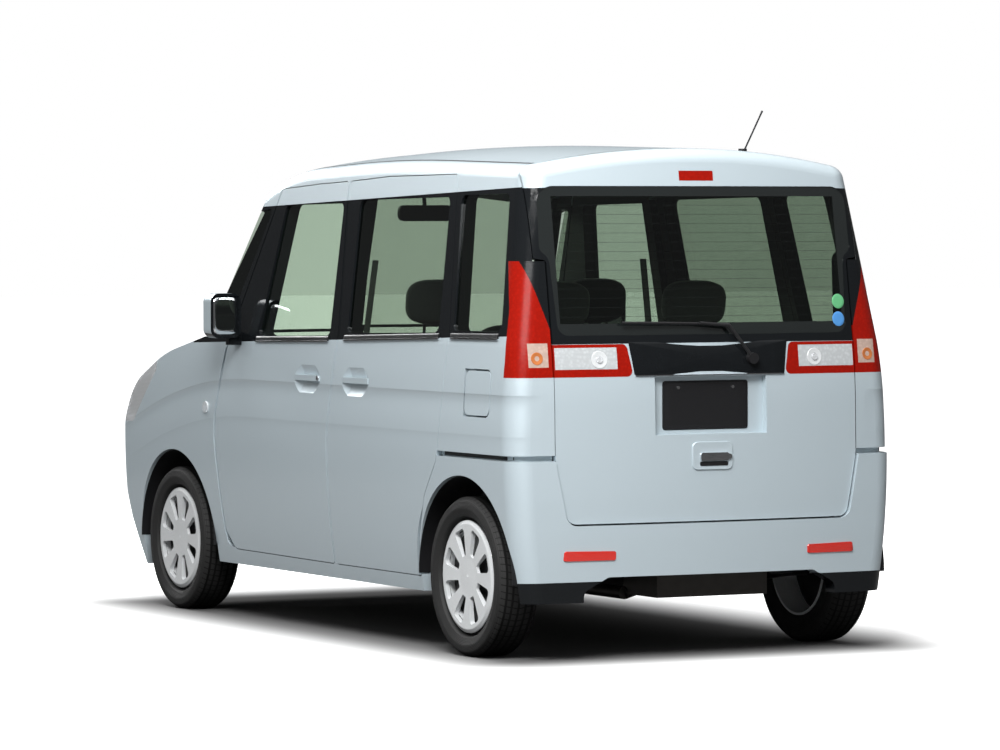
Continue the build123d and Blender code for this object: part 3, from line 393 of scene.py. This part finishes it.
MATERIALS = {
    "body_paint": paint_material(),
    "banded_paint": paint_material("banded_paint", SIDE_BAND),
    "tailgate_paint": paint_material("tailgate_paint", TAIL_BAND),
    # The rear bumper's lowest part is painted shade, in gloss black
    "bumper_paint_and_painted_shade": paint_material("bumper_paint_and_painted_shade", BUMPER_SHADE_BAND),
    "front_tyre": tyre_material("front_tyre", FRONT_AXLE_X),
    "rear_tyre": tyre_material("rear_tyre", REAR_AXLE_X),
    "outer_lamp": two_tone_lens("outer_lamp", [(0.598, 0.668, 0.982, 1.062)], LAMP_RED, (0.42, 0.31, 0.26),
                                dark_wedge=True),
    "inner_lamp": two_tone_lens("inner_lamp", [(0.350, 0.575, 0.974, 1.046)], LAMP_RED, (0.42, 0.44, 0.45)),
    "clear_glass": glass_material("clear_glass", (0.80, 0.855, 0.80), 0.995),
    "dark_glass": glass_material("dark_glass", (0.605, 0.655, 0.60), 0.99),
    "rear_glass": glass_material("rear_glass", (0.585, 0.64, 0.585), 0.99, border=(0.545, 1.125, 1.55),
                                 heating=True),
    "reflector": lens_material("reflector", (0.55, 0.02, 0.012), 0.1),
    "clear_lens": lens_material("clear_lens", (0.86, 0.88, 0.9), 0.55),
    "seat_fabric": fabric_material("seat_fabric", (0.035, 0.035, 0.038)),
    "headliner": plain("headliner", (0.30, 0.30, 0.29), 0.9, bump=(400.0, 0.3)),
    "door_trim": plain("door_trim", (0.05, 0.05, 0.052), 0.7, bump=(300.0, 0.4)),
    "chrome": plain("chrome", (0.75, 0.76, 0.78), 0.12, metallic=1.0, bump=(20.0, 0.01)),
    "mirror_glass": plain("mirror_glass", (0.8, 0.82, 0.84), 0.03, metallic=1.0, bump=(5.0, 0.004)),
    "plate_black": plain("plate_black", (0.010, 0.010, 0.011), 0.35, bump=(500.0, 0.08), specular=0.3),
    "green_mark": plain("green_mark", (0.10, 0.36, 0.16), 0.35, bump=(60.0, 0.02)),
    "blue_mark": plain("blue_mark", (0.06, 0.22, 0.5), 0.35, bump=(60.0, 0.02)),
    "gloss_black": plain("gloss_black", BLACK, 0.1, bump=(30.0, 0.02), specular=0.25),
    "satin_black": plain("satin_black", (0.009, 0.009, 0.010), 0.45, bump=(180.0, 0.3), specular=0.3),
    "amber_bowl": plain("amber_bowl", (0.62, 0.20, 0.06), 0.25, metallic=0.4, bump=(90.0, 0.1), coat=0.4),
    "underbody": plain("underbody", (0.03, 0.032, 0.034), 0.6, bump=(40.0, 0.5)),
    "steel": plain("steel", (0.035, 0.036, 0.038), 0.5, metallic=0.4, bump=(90.0, 0.3)),
    "cast_metal": plain("cast_metal", (0.16, 0.16, 0.165), 0.55, metallic=0.8, bump=(70.0, 0.4)),
    "exhaust_steel": plain("exhaust_steel", (0.06, 0.055, 0.05), 0.5, metallic=0.6, bump=(25.0, 0.3)),
    "trim_plastic": plain("trim_plastic", (0.035, 0.035, 0.037), 0.6, bump=(260.0, 0.4)),
    "wheel_silver": plain("wheel_silver", (0.66, 0.68, 0.69), 0.32, metallic=0.25, bump=(300.0, 0.05),
                          coat=0.4),
}

NODE_MATERIAL = {
    "side_left": "banded_paint", "side_right": "banded_paint", "front_door_left": "banded_paint",
    "front_door_right": "banded_paint", "sliding_doors": "banded_paint", "tailgate": "tailgate_paint",
    "roof_panel": "body_paint", "fenders": "body_paint", "bonnet": "body_paint", "front_bumper": "body_paint",
    "rear_bumper": "bumper_paint_and_painted_shade", "fuel_flap": "body_paint", "windscreen": "clear_glass",
    "front_door_glass_left": "clear_glass", "front_door_glass_right": "clear_glass",
    "side_glass": "dark_glass", "tailgate_glass": "rear_glass", "headlamps": "clear_lens",
    "tail_lamps": "outer_lamp", "tailgate_lamps": "inner_lamp", "floor_pan": "underbody",
    "front_suspension": "steel", "rear_axle": "steel",
    "knuckle_left": "cast_metal", "knuckle_right": "cast_metal", "engine": "cast_metal",
    "exhaust": "exhaust_steel", "fuel_tank": "satin_black", "dashboard": "trim_plastic",
    "steering_wheel": "trim_plastic", "front_seats": "seat_fabric", "rear_seat": "seat_fabric",
    "antenna": "satin_black", "front_wipers": "satin_black", "rear_wiper": "satin_black",
    "mirror_left": "gloss_black", "mirror_right": "gloss_black",
}


def wear(node, name):
    """Gives a node of the frame one of the materials."""
    mesh = NODES[node].data
    mesh.materials.clear()
    mesh.materials.append(MATERIALS[name])


def wear_second(node, name, chosen):
    """Gives the chosen faces of a node a second material; chosen gets a face's centre and normal."""
    mesh = NODES[node].data
    mesh.materials.append(MATERIALS[name])
    for face in mesh.polygons:
        if chosen(face.center, face.normal):
            face.material_index = 1


def paint_pocket_shade(node):
    """Gives the recessed faces between the spokes of a wheel cover a dark material, as painted shade in the
    recesses.
    """
    points = [vertex.co for vertex in NODES[node].data.vertices]
    recessed = max(abs(p.y) for p in points) - 0.014
    axle_x = (max(p.x for p in points) + min(p.x for p in points)) / 2
    hub, rim = 0.05, 0.165

    def pocket(centre, normal):
        reach = math.hypot(centre.x - axle_x, centre.z - AXLE_Z)
        return hub < reach < rim and abs(centre.y) < recessed and abs(normal.y) > 0.5
    # Painted shade: the recesses between the spokes are satin black
    wear_second(node, "satin_black", pocket)


def dress_nodes():
    """Materials of the frame's nodes, with the inner faces of the cabin in trim."""
    for node in NODES:
        if node.startswith("tyre_"):
            wear(node, "front_tyre" if "front" in node else "rear_tyre")
        elif node.startswith("wheel_"):
            wear(node, "wheel_silver")
            paint_pocket_shade(node)
        else:
            wear(node, NODE_MATERIAL[node])

    def faces_middle(centre, normal):
        inward = normal.y * (1 if centre.y > 0 else -1) < -0.3
        return inward and abs(centre.y) < 0.7 and centre.z > 0.26
    for node in ("side_left", "side_right", "front_door_left", "front_door_right", "sliding_doors"):
        wear_second(node, "door_trim", faces_middle)
    wear_second("tailgate", "door_trim", lambda centre, normal: normal.x > 0.3 and centre.x > -1.62)
    wear_second("roof_panel", "headliner", lambda centre, normal: normal.z < -0.3)


def mirror_caps(hand, s):
    """Body-coloured cap over the front and outer side of each mirror."""
    heart = Vector((0.56, s * 0.80, 1.125))

    def on_cap(centre, normal):
        outward = (centre - heart).dot(normal) > 0
        return outward and normal.x > -0.3 and abs(centre.y) > 0.735 and centre.z > 1.06
    wear_second("mirror_" + hand, "body_paint", on_cap)


def look_from(place, yaw, pitch, roll):
    """Camera matrix at a place, looking along yaw from +X and pitch above the ground plane."""
    ahead = Vector((math.cos(yaw) * math.cos(pitch), math.sin(yaw) * math.cos(pitch), math.sin(pitch)))
    side = ahead.cross(Vector((0, 0, 1))).normalized()
    up = side.cross(ahead)
    turned = Matrix.Rotation(roll, 3, ahead)
    matrix = Matrix((turned @ side, turned @ up, -ahead)).transposed().to_4x4()
    matrix.translation = place
    return matrix


def make_camera():
    """The photograph's camera, with its focal length in pixels of a picture 1000 wide."""
    focal_pixels, picture_width = 4958.8, 1000
    data = bpy.data.cameras.new("camera")
    camera = bpy.data.objects.new("camera", data)
    bpy.context.scene.collection.objects.link(camera)
    data.sensor_width = 36
    data.lens = focal_pixels / picture_width * data.sensor_width
    data.clip_end = 200
    camera.matrix_world = look_from(Vector((-16.153, 8.235, 1.447)), -0.4746, -0.0298, 0.0023)
    bpy.context.scene.camera = camera


def pale_floor():
    """A floor with a painted shadow: its colour is dark close to the car, and it fades into the white
    background away from it.
    """
    size = 80
    half_length, half_width = 1.5, 0.66
    fade_width, shadow_width = 1.2, 0.6
    mesh = bpy.data.meshes.new("floor")
    corners = [(-size, -size, 0), (size, -size, 0), (size, size, 0), (-size, size, 0)]
    mesh.from_pydata(corners, [], [(0, 1, 2, 3)])
    floor = bpy.data.objects.new("floor", mesh)
    bpy.context.scene.collection.objects.link(floor)
    material, tree, out = make("floor")
    x, y, z, side = place_axes(tree)
    beyond = past(tree, compute(tree, "ABSOLUTE", x), half_length)
    away = distance(tree, beyond, past(tree, side, half_width))
    camera_ray = add(tree, "ShaderNodeLightPath").outputs["Is Camera Ray"]
    fade = map_range(tree, away, (0.0, fade_width), (0.0, 0.85), "SMOOTHSTEP")
    # Painted shadow: the floor's own colour darkens close to the car
    near = map_range(tree, away, (0.0, shadow_width), (0.14, 0.96), "SMOOTHSTEP")
    shown = compute(tree, "MULTIPLY_ADD", camera_ray, 0.8, 0.2)
    albedo = compute(tree, "MULTIPLY", near, shown)
    grey = add(tree, "ShaderNodeCombineColor")
    for channel in grey.inputs:
        tree.links.new(albedo, channel)
    matt = add(tree, "ShaderNodeBsdfDiffuse")
    tree.links.new(grey.outputs[0], matt.inputs[0])
    glow = add(tree, "ShaderNodeEmission")
    feed(tree, glow.inputs["Color"], WHITE)
    tree.links.new(compute(tree, "MULTIPLY", camera_ray, fade), glow.inputs["Strength"])
    both = add(tree, "ShaderNodeAddShader")
    tree.links.new(matt.outputs[0], both.inputs[0])
    tree.links.new(glow.outputs[0], both.inputs[1])
    tree.links.new(both.outputs[0], out.inputs[0])
    mesh.materials.append(material)


def white_studio():
    """A world that is white to the camera and behind glass, and gives soft light and reflections."""
    light_strength = 0.55
    world = bpy.data.worlds.new("studio")
    bpy.context.scene.world = world
    world.use_nodes = True
    tree = world.node_tree
    tree.nodes.clear()
    out = add(tree, "ShaderNodeOutputWorld")
    rays = add(tree, "ShaderNodeLightPath")
    where = add(tree, "ShaderNodeTexCoord")
    split = add(tree, "ShaderNodeSeparateXYZ")
    tree.links.new(where.outputs["Generated"], split.inputs[0])
    ceiling = map_range(tree, split.outputs[2], (0.1, 0.8), (0.12, 0.9), "SMOOTHSTEP")
    extra = compute(tree, "SUBTRACT", ceiling, light_strength)
    glossy = compute(tree, "MULTIPLY", rays.outputs["Is Glossy Ray"], extra)
    light = add(tree, "ShaderNodeBackground")
    tree.links.new(compute(tree, "ADD", glossy, light_strength), light.inputs["Strength"])
    seen = add(tree, "ShaderNodeBackground", Strength=1.0)
    feed(tree, seen.inputs["Color"], WHITE)
    shown = compute(tree, "MAXIMUM", rays.outputs["Is Camera Ray"], rays.outputs["Is Transmission Ray"])
    tree.links.new(mix_shaders(tree, shown, light.outputs[0], seen.outputs[0]), out.inputs[0])


def area_light(name, place, target, size, power):
    """A rectangular lamp at a place, turned to a target."""
    data = bpy.data.lights.new(name, "AREA")
    data.shape = "RECTANGLE"
    data.size, data.size_y = size
    data.energy = power
    lamp = bpy.data.objects.new(name, data)
    bpy.context.scene.collection.objects.link(lamp)
    lamp.location = place
    lamp.rotation_euler = (Vector(target) - Vector(place)).to_track_quat("-Z", "Y").to_euler()


def lights():
    area_light("top", (-0.5, 1.0, 5.5), (-0.5, 0.3, 0), (8, 4.5), 390)
    area_light("rear", (-4.8, 3.0, 4.4), (-1.6, 0, 1.4), (2.6, 1.8), 520)
    area_light("front", (6.5, 0.8, 3.5), (1.2, 0, 0.9), (2.5, 2), 320)


def surface_of(*nodes):
    """A tree that finds the outer surface of some CAD nodes."""
    points, faces = [], []
    for node in nodes:
        mesh = NODES[node].data
        start = len(points)
        points += [v.co.copy() for v in mesh.vertices]
        faces += [[start + i for i in face.vertices] for face in mesh.polygons]
    return BVHTree.FromPolygons(points, faces)


# From each side: where a line starts on its own axis, with None on the other two, and where it aims
RAYS = {"rear": ((-3, None, None), Vector((1, 0, 0))), "front": ((3, None, None), Vector((-1, 0, 0))),
        "left": ((None, 2, None), Vector((0, -1, 0))), "right": ((None, -2, None), Vector((0, 1, 0))),
        "top": ((None, None, 3), Vector((0, 0, -1)))}


def land(tree, side, a, b):
    """Where a line in from one side meets the surface; a and b are the other two coordinates in order.
    A line that misses ends at 0 on its own axis."""
    start, aim = RAYS[side]
    others = iter((a, b))
    origin = Vector([next(others) if value is None else value for value in start])
    hit = tree.ray_cast(origin, aim)[0]
    if hit is None:
        return Vector([0.0 if value is not None else kept for value, kept in zip(start, origin)])
    return hit


def rounded(rows):
    """Closed outline with rounded corners from rows of (a, b, radius)."""
    steps = 5
    out = []
    for i, (a, b, radius) in enumerate(rows):
        here = Vector((a, b))
        before, after = Vector(rows[i - 1][:2]), Vector(rows[(i + 1) % len(rows)][:2])
        start = here + (before - here).normalized() * radius
        end = here + (after - here).normalized() * radius
        for k in range(steps + 1):
            t = k / steps
            out.append((1 - t) ** 2 * start + 2 * t * (1 - t) * here + t * t * end)
    return out


def box_outline(a0, a1, b0, b1, radius):
    """Rectangle from a0 to a1 and b0 to b1 with rounded corners."""
    return rounded([(a0, b0, radius), (a1, b0, radius), (a1, b1, radius), (a0, b1, radius)])


def disc(a, b, radius, count=24):
    """Circle round (a, b) as an outline of count points."""
    angles = [2 * math.pi * k / count for k in range(count)]
    return [Vector((a + radius * math.cos(angle), b + radius * math.sin(angle))) for angle in angles]


def swept(sections, count, ends=True):
    """Faces of a skin over sections of count points each, with both ends closed or left open."""
    faces = []
    for i in range(sections - 1):
        here, there = i * count, (i + 1) * count
        for j in range(count):
            k = (j + 1) % count
            faces.append([here + j, here + k, there + k, there + j])
    if ends:
        last = (sections - 1) * count
        faces += [list(range(count)), [last + j for j in reversed(range(count))]]
    return faces


def new_piece(name, points, faces, material, body="root", smooth=True):
    """A mesh piece that rides on a body, with its material."""
    mesh = bpy.data.meshes.new(name)
    mesh.from_pydata([tuple(p) for p in points], [], faces)
    mesh.materials.append(MATERIALS[material])
    shape = bmesh.new()
    shape.from_mesh(mesh)
    bmesh.ops.remove_doubles(shape, verts=shape.verts, dist=1e-5)
    bmesh.ops.recalc_face_normals(shape, faces=shape.faces)
    shape.to_mesh(mesh)
    shape.free()
    if smooth:
        mesh.polygons.foreach_set("use_smooth", [True] * len(mesh.polygons))
        mesh.set_sharp_from_angle(angle=math.radians(40))
    piece = bpy.data.objects.new(name, mesh)
    bpy.context.scene.collection.objects.link(piece)
    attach(piece, body)
    return piece


def drape(name, outline, side, tree, material, lift, depth, body="root", rings=4, dish=0.0):
    """A thin plate laid over a surface: its outline is given in two coordinates and lands on the surface.
    It stands proud by lift, less by dish in its middle, and its edge goes depth into the surface."""
    aim = RAYS[side][1]
    count = len(outline)
    middle = sum(outline, Vector((0, 0))) / count
    scales = [k / rings for k in range(1, rings)] + [0.97, 1.0]
    heights = [lift - dish * (1 - scale) for scale in scales[:-1]] + [lift * 0.35]
    points = [land(tree, side, *middle) - aim * (lift - dish)]
    for scale, height in zip(scales, heights):
        spots = [middle + (corner - middle) * scale for corner in outline]
        points += [land(tree, side, *spot) - aim * height for spot in spots]
    last = 1 + (len(scales) - 1) * count
    points += [points[last + j] + aim * depth for j in range(count)]
    faces = [[0, 1 + j, 1 + (j + 1) % count] for j in range(count)]
    for ring in range(len(scales)):
        inner, outer = 1 + ring * count, 1 + (ring + 1) * count
        for j in range(count):
            k = (j + 1) % count
            faces.append([inner + j, outer + j, outer + k, inner + k])
    faces.append([last + count + j for j in reversed(range(count))])
    return new_piece(name, points, faces, material, body)


def directions(spots):
    """The direction of a path at each of its points."""
    ends = len(spots) - 1
    return [(spots[min(i + 1, ends)] - spots[max(i - 1, 0)]).normalized() for i in range(len(spots))]


def ribbon(name, path, width, side, tree, material, lift, depth, body="root"):
    """A narrow strip laid along a path on a surface, with a rounded top."""
    step = 0.03
    aim = RAYS[side][1]
    path = [Vector(p) for p in path]
    spots = []
    for a, b in zip(path, path[1:]):
        count = max(1, int((b - a).length / step))
        spots += [a.lerp(b, k / count) for k in range(count)]
    spots.append(path[-1])
    shoulder = lift * 0.4
    profile = [(-0.5, -depth), (-0.5, shoulder), (-0.3, lift), (0.3, lift), (0.5, shoulder), (0.5, -depth)]
    points = []
    for spot, ahead in zip(spots, directions(spots)):
        across = Vector((-ahead.y, ahead.x))
        for share, height in profile:
            points.append(land(tree, side, *(spot + across * width * share)) - aim * height)
    return new_piece(name, points, swept(len(spots), len(profile)), material, body)


def tube(name, points, radius, material, body="root", sides=10):
    """Round bar through points."""
    spots = [Vector(p) for p in points]
    skin = []
    for spot, ahead in zip(spots, directions(spots)):
        u = ahead.orthogonal().normalized()
        if abs(ahead.z) < 0.9:
            u = ahead.cross(Vector((0, 0, 1))).normalized()
        v = ahead.cross(u)
        for k in range(sides):
            angle = 2 * math.pi * k / sides
            skin.append(spot + u * math.cos(angle) * radius + v * math.sin(angle) * radius)
    return new_piece(name, skin, swept(len(spots), sides), material, body)


def both_hands(maker):
    """Runs a maker for the left side and the right side."""
    for hand, s in HANDS:
        maker(hand, s)


def pad(name, size, place, lean, crown, channels=(), power=4.5, cuts=18):
    """A stuffed form: a rounded block with a crowned face, pulled-in sides, a seam near each end and
    sewn channels along its length; channels gives their places across, from -1 to 1."""
    channel_depth, channel_width = 0.012, 0.035
    seam_place, seam_depth, seam_width = 0.86, 0.008, 0.03
    side_pull = 0.03
    shape = bmesh.new()
    bmesh.ops.create_cube(shape, size=2)
    bmesh.ops.subdivide_edges(shape, edges=shape.edges, cuts=cuts, use_grid_fill=True)
    for vert in shape.verts:
        u, v, w = vert.co
        length = (abs(u) ** power + abs(v) ** power + abs(w) ** power) ** (1 / power)
        u, v, w = u / length, v / length, w / length
        x, y, z = u * size[0] / 2, v * size[1] / 2, w * size[2] / 2
        if w > 0.2:
            z += crown * (1 - u * u) * (1 - v * v)
            for spot in channels:
                z -= channel_depth * math.exp(-((v - spot) / channel_width) ** 2) * (1 - abs(u) ** 6)
            z -= seam_depth * math.exp(-((abs(u) - seam_place) / seam_width) ** 2)
        pull = 1 - side_pull * (1 - w * w)
        vert.co = (x * pull, y * pull, z)
    mesh = bpy.data.meshes.new(name)
    bmesh.ops.recalc_face_normals(shape, faces=shape.faces)
    shape.to_mesh(mesh)
    shape.free()
    mesh.materials.append(MATERIALS["seat_fabric"])
    mesh.polygons.foreach_set("use_smooth", [True] * len(mesh.polygons))
    mesh.transform(Matrix.Translation(place) @ Matrix.Rotation(lean, 4, "Y"))
    piece = bpy.data.objects.new(name, mesh)
    bpy.context.scene.collection.objects.link(piece)
    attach(piece, "root")
    return piece


def seat_set(name, node, x, y, width, heads):
    """Cushion, back, headrests on their posts and stand, in the room that the CAD seat holds."""
    single = width < 0.7
    bench_channels = (-0.6, -0.25, 0.25, 0.6)
    cushion = pad(name + "_cushion", (0.49, width, 0.125), (x + 0.125, y, 0.385), -0.04, 0.018,
                  channels=(-0.5, 0.5) if single else bench_channels)
    pad(name + "_back", (0.58, width - 0.05, 0.10), (x - 0.178, y, 0.735), -1.79, 0.016,
        channels=(-0.45, 0.45) if single else bench_channels)
    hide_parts(node)
    for k, head_y in enumerate(heads):
        middle = y + head_y
        pad(f"{name}_head_{k}", (0.165, 0.25, 0.075), (x - 0.258, middle, 1.18), -1.72, 0.008,
            power=3.2, cuts=10)
        for mark, off in (("b", 0.05), ("a", -0.05)):
            post = [(x - 0.246, middle + off, 1.0), (x - 0.256, middle + off, 1.13)]
            tube(f"{name}_post_{k}_{mark}", post, 0.006, "chrome")
    low, high = 0.2625, 0.34
    edge = width / 2 - 0.07
    rows = [(-0.09, low), (0.29, low), (0.27, high), (-0.07, high)]
    points = [(x + a, y + s * edge, z) for s in (1, -1) for a, z in rows]
    new_piece(name + "_stand", points, swept(2, 4), "satin_black", smooth=False)


def tailgate_trim():
    """Garnish, blank plate, latch, lock, stickers, washer nozzle and wiper boss."""
    gate = surface_of("tailgate")
    garnish = rounded([(-0.288, 0.949, 0.01), (0.288, 0.949, 0.01),
                       (0.306, 1.064, 0.004), (-0.306, 1.064, 0.004)])
    drape("garnish", garnish, "rear", gate, "gloss_black", 0.004, 0.006, "tailgate", rings=6)
    foot = [(-0.286, 0.951), (0.286, 0.951)]
    ribbon("garnish_foot", foot, 0.004, "rear", gate, "chrome", 0.0055, 0.003, "tailgate")
    plate = box_outline(-0.156, 0.174, 0.766, 0.931, 0.012)
    drape("number_plate", plate, "rear", gate, "plate_black", 0.003, 0.0029, "tailgate")
    rim = [(-0.151, 0.771), (0.169, 0.771), (0.169, 0.926), (-0.151, 0.926), (-0.151, 0.771)]
    ribbon("plate_rim", rim, 0.004, "rear", gate, "plate_black", 0.0042, 0.003, "tailgate")
    for k, y in enumerate((-0.096, 0.114)):
        bolt = [(-1.6528, y, 0.908), (-1.6555, y, 0.908)]
        tube(f"plate_bolt_{k}", bolt, 0.006, "chrome", "tailgate", sides=6)
    bezel = box_outline(-0.078, 0.078, 0.632, 0.726, 0.022)
    drape("latch_bezel", bezel, "rear", gate, "body_paint", 0.005, 0.006, "tailgate", rings=6, dish=0.004)
    grip = box_outline(-0.062, 0.05, 0.662, 0.69, 0.01)
    drape("latch_grip", grip, "rear", gate, "chrome", 0.010, 0.009, "tailgate", rings=5)
    # Painted shade: a satin black strip in the slot under the latch grip
    pocket = box_outline(-0.06, 0.05, 0.645, 0.66, 0.005)
    drape("latch_pocket_shade", pocket, "rear", gate, "satin_black", 0.0055, 0.004, "tailgate")
    lock = [(-1.6845, -0.063, 0.676), (-1.6925, -0.063, 0.676)]
    tube("lock_barrel", lock, 0.009, "chrome", "tailgate", sides=16)
    pane = surface_of("tailgate_glass", "tailgate")
    for name, y, z in (("green", -0.533, 1.192), ("blue", -0.529, 1.132)):
        spot = disc(y, z, 0.025)
        drape(name + "_sticker", spot, "rear", pane, name + "_mark", 0.0008, 0.0006, "tailgate", rings=3)
    nozzle = [(-1.552, 0.091, 1.612), (-1.568, 0.091, 1.612)]
    tube("washer_nozzle", nozzle, 0.008, "satin_black", "tailgate", sides=14)
    boss = [(-1.672, -0.156, 1.004), (-1.6945, -0.156, 1.004)]
    tube("wiper_boss", boss, 0.019, "satin_black", "tailgate", sides=20)


def lamp_inserts(hand, s):
    """Reflectors seen in the rear lamps."""
    inner, outer = surface_of("tailgate_lamps"), surface_of("tail_lamps")
    bowl, bulb = disc(s * 0.415, 1.006, 0.029), disc(s * 0.415, 1.006, 0.012, 16)
    drape("reverse_bowl_" + hand, bowl, "rear", inner, "wheel_silver", 0.0016, 0.002, "tailgate",
          rings=5, dish=0.003)
    drape("reverse_bulb_" + hand, bulb, "rear", inner, "clear_lens", 0.004, 0.006, "tailgate")
    turn = disc(s * 0.638, 1.012, 0.021)
    drape("turn_bowl_" + hand, turn, "rear", outer, "amber_bowl", 0.0018, 0.002, rings=5, dish=0.003)


def front_trim(hand, s):
    """Headlamp bezels with two bowls each, and fog lamps in their recesses."""
    lamp = surface_of("headlamps")
    rows = ((0.375, 0.735, 0.015), (0.680, 0.730, 0.03), (0.708, 0.795, 0.04), (0.700, 0.868, 0.02),
            (0.540, 0.868, 0.04), (0.470, 0.838, 0.03), (0.375, 0.800, 0.015))
    bezel = rounded([(s * y, z, radius) for y, z, radius in rows])
    drape("lamp_bezel_" + hand, bezel, "front", lamp, "gloss_black", 0.0016, 0.003, rings=6)
    for name, y, z, radius in (("outer", 0.610, 0.797, 0.050), ("inner", 0.475, 0.784, 0.037)):
        ring, bowl = disc(s * y, z, radius), disc(s * y, z, radius * 0.78)
        drape(f"lamp_ring_{name}_{hand}", ring, "front", lamp, "wheel_silver", 0.0036, 0.004, dish=0.002)
        drape(f"lamp_bowl_{name}_{hand}", bowl, "front", lamp, "clear_lens", 0.0065, 0.006, rings=5)
    fog_y, fog_z = s * 0.57, 0.35
    seat = [(1.592, fog_y, fog_z), (1.611, fog_y, fog_z)]
    tube("fog_seat_" + hand, seat, 0.0446, "satin_black", sides=28)
    glass = [(1.6112, fog_y, fog_z), (1.6185, fog_y, fog_z)]
    tube("fog_lamp_" + hand, glass, 0.036, "clear_lens", sides=28)


def arch_liner(hand, s):
    """Dark liners inside the wheel arches, up to 15 mm from the panel's edge."""
    steps, thickness, outer_y, middle_z = 36, 0.002, 0.72, 0.262
    arches = (("front", FRONT_AXLE_X, 0.3455, 0.41), ("rear", REAR_AXLE_X, 0.3495, 0.55))
    for name, axle, radius, inner_y in arches:
        inside = radius - thickness
        section = ((radius, inner_y), (radius, outer_y), (inside, outer_y), (inside, inner_y))
        points = []
        for k in range(steps + 1):
            angle = math.pi * k / steps
            ahead, up = math.cos(angle), math.sin(angle)
            points += [(axle + r * ahead, s * y, middle_z + r * up) for r, y in section]
        new_piece(f"arch_liner_{name}_{hand}", points, swept(steps + 1, len(section)), "satin_black")


def load_side(hand, s):
    """Dark side panel at the tail end of the load space."""
    rows = [(-1.57, 0.432), (-1.30, 0.432), (-1.30, 0.70), (-1.55, 0.70)]
    points = [(x, s * y, z) for y in (0.604, 0.608) for x, z in rows]
    new_piece("load_side_" + hand, points, swept(2, len(rows)), "satin_black", smooth=False)


def front_plate():
    """Blank number plate at the front."""
    plate = box_outline(-0.165, 0.165, 0.440, 0.605, 0.012)
    drape("front_plate", plate, "front", surface_of("front_bumper"), "plate_black", 0.004, 0.006)


def bumper_trim(hand, s):
    """Reflectors in the rear bumper."""
    corners = ((0.369, 0.339), (0.560, 0.339), (0.556, 0.373), (0.369, 0.370))
    outline = rounded([(s * y, z, 0.008) for y, z in corners])
    bumper = surface_of("rear_bumper")
    drape("reflector_" + hand, outline, "rear", bumper, "reflector", 0.004, 0.006, rings=5)


def side_trim(hand, s):
    """Belt mouldings, painted shade along the slide rail's groove, side lamp, keyhole and mirror glass."""
    door, slider = surface_of("front_door_" + hand), surface_of("sliding_doors")
    panel = surface_of("side_" + hand)
    runs = (("front", door, "front_door_" + hand, [(0.43, 1.040), (-0.185, 1.052)]),
            ("slide", slider, "root", [(-0.315, 1.058), (-1.06, 1.078)]),
            ("rear", panel, "root", [(-1.15, 1.080), (-1.50, 1.084)]))
    for name, tree, body, path in runs:
        ribbon(f"belt_{name}_{hand}", path, 0.018, hand, tree, "satin_black", 0.006, 0.005, body)
        low = [(x, z - 0.011) for x, z in path]
        ribbon(f"belt_bright_{name}_{hand}", low, 0.004, hand, tree, "chrome", 0.006, 0.004, body)
    # Painted shade: a satin black strip where the slide rail's groove runs along the side
    rail = [(-1.11, 0.681), (-1.60, 0.681)]
    ribbon("slide_rail_" + hand, rail, 0.013, hand, panel, "satin_black", 0.001, 0.002)
    lamp = disc(0.851, 0.777, 0.022, 20)
    drape("side_lamp_" + hand, lamp, hand, surface_of("fenders"), "clear_lens", 0.006, 0.005)
    keyhole = disc(-0.125, 0.91, 0.009, 16)
    drape("keyhole_" + hand, keyhole, hand, door, "chrome", 0.003, 0.003, "front_door_" + hand, rings=2)
    glass = [Vector((s * p.x, p.y)) for p in box_outline(0.757, 0.855, 1.055, 1.193, 0.03)]
    drape("mirror_glass_" + hand, glass, "rear", surface_of("mirror_" + hand), "mirror_glass", 0.002, 0.0015,
          "front_door_" + hand)


def roof_trim(hand, s):
    """Drip channel along the roof."""
    roof = surface_of("roof_panel", "side_left", "side_right")
    ditch = [(-1.46, s * 0.564), (0.42, s * 0.564)]
    ribbon("roof_ditch_" + hand, ditch, 0.014, "top", roof, "satin_black", 0.0012, 0.004)


def room_mirror():
    """Mirror under the front of the roof, on its stalk."""
    tube("room_mirror_stalk", [(0.50, 0.0, 1.60), (0.49, 0.0, 1.53)], 0.008, "satin_black")
    outline = box_outline(-0.11, 0.11, 1.47, 1.53, 0.025)
    points = [Vector((x, p.x, p.y)) for x in (0.476, 0.496) for p in outline]
    new_piece("room_mirror", points, swept(2, len(outline)), "satin_black")


def belt_webbing(hand, s):
    """Seat belt hanging at the centre pillar."""
    half_width, thickness = 0.023, 0.002
    web = [(-0.215, s * 0.545, 1.33), (-0.20, s * 0.585, 1.0), (-0.19, s * 0.60, 0.45)]
    points = []
    for x, y, z in web:
        inner_y = y - s * thickness
        points += [(x - half_width, y, z), (x + half_width, y, z), (x + half_width, inner_y, z),
                   (x - half_width, inner_y, z)]
    new_piece("belt_webbing_" + hand, points, swept(len(web), 4, ends=False), "seat_fabric", smooth=False)


make_camera()
pale_floor()
white_studio()
lights()
dress_nodes()
both_hands(mirror_caps)
both_hands(side_trim)
both_hands(roof_trim)
both_hands(lamp_inserts)
both_hands(front_trim)
both_hands(arch_liner)
both_hands(load_side)
front_plate()
tailgate_trim()
both_hands(bumper_trim)
room_mirror()
both_hands(belt_webbing)
seat_set("driver_seat", "front_seats", 0.0, -0.32, 0.51, (0.0,))
seat_set("passenger_seat", "front_seats", 0.0, 0.32, 0.51, (0.0,))
seat_set("bench_seat", "rear_seat", -0.82, 0.0, 1.02, (-0.27, 0.27))

bpy.context.scene.view_settings.view_transform = "Standard"
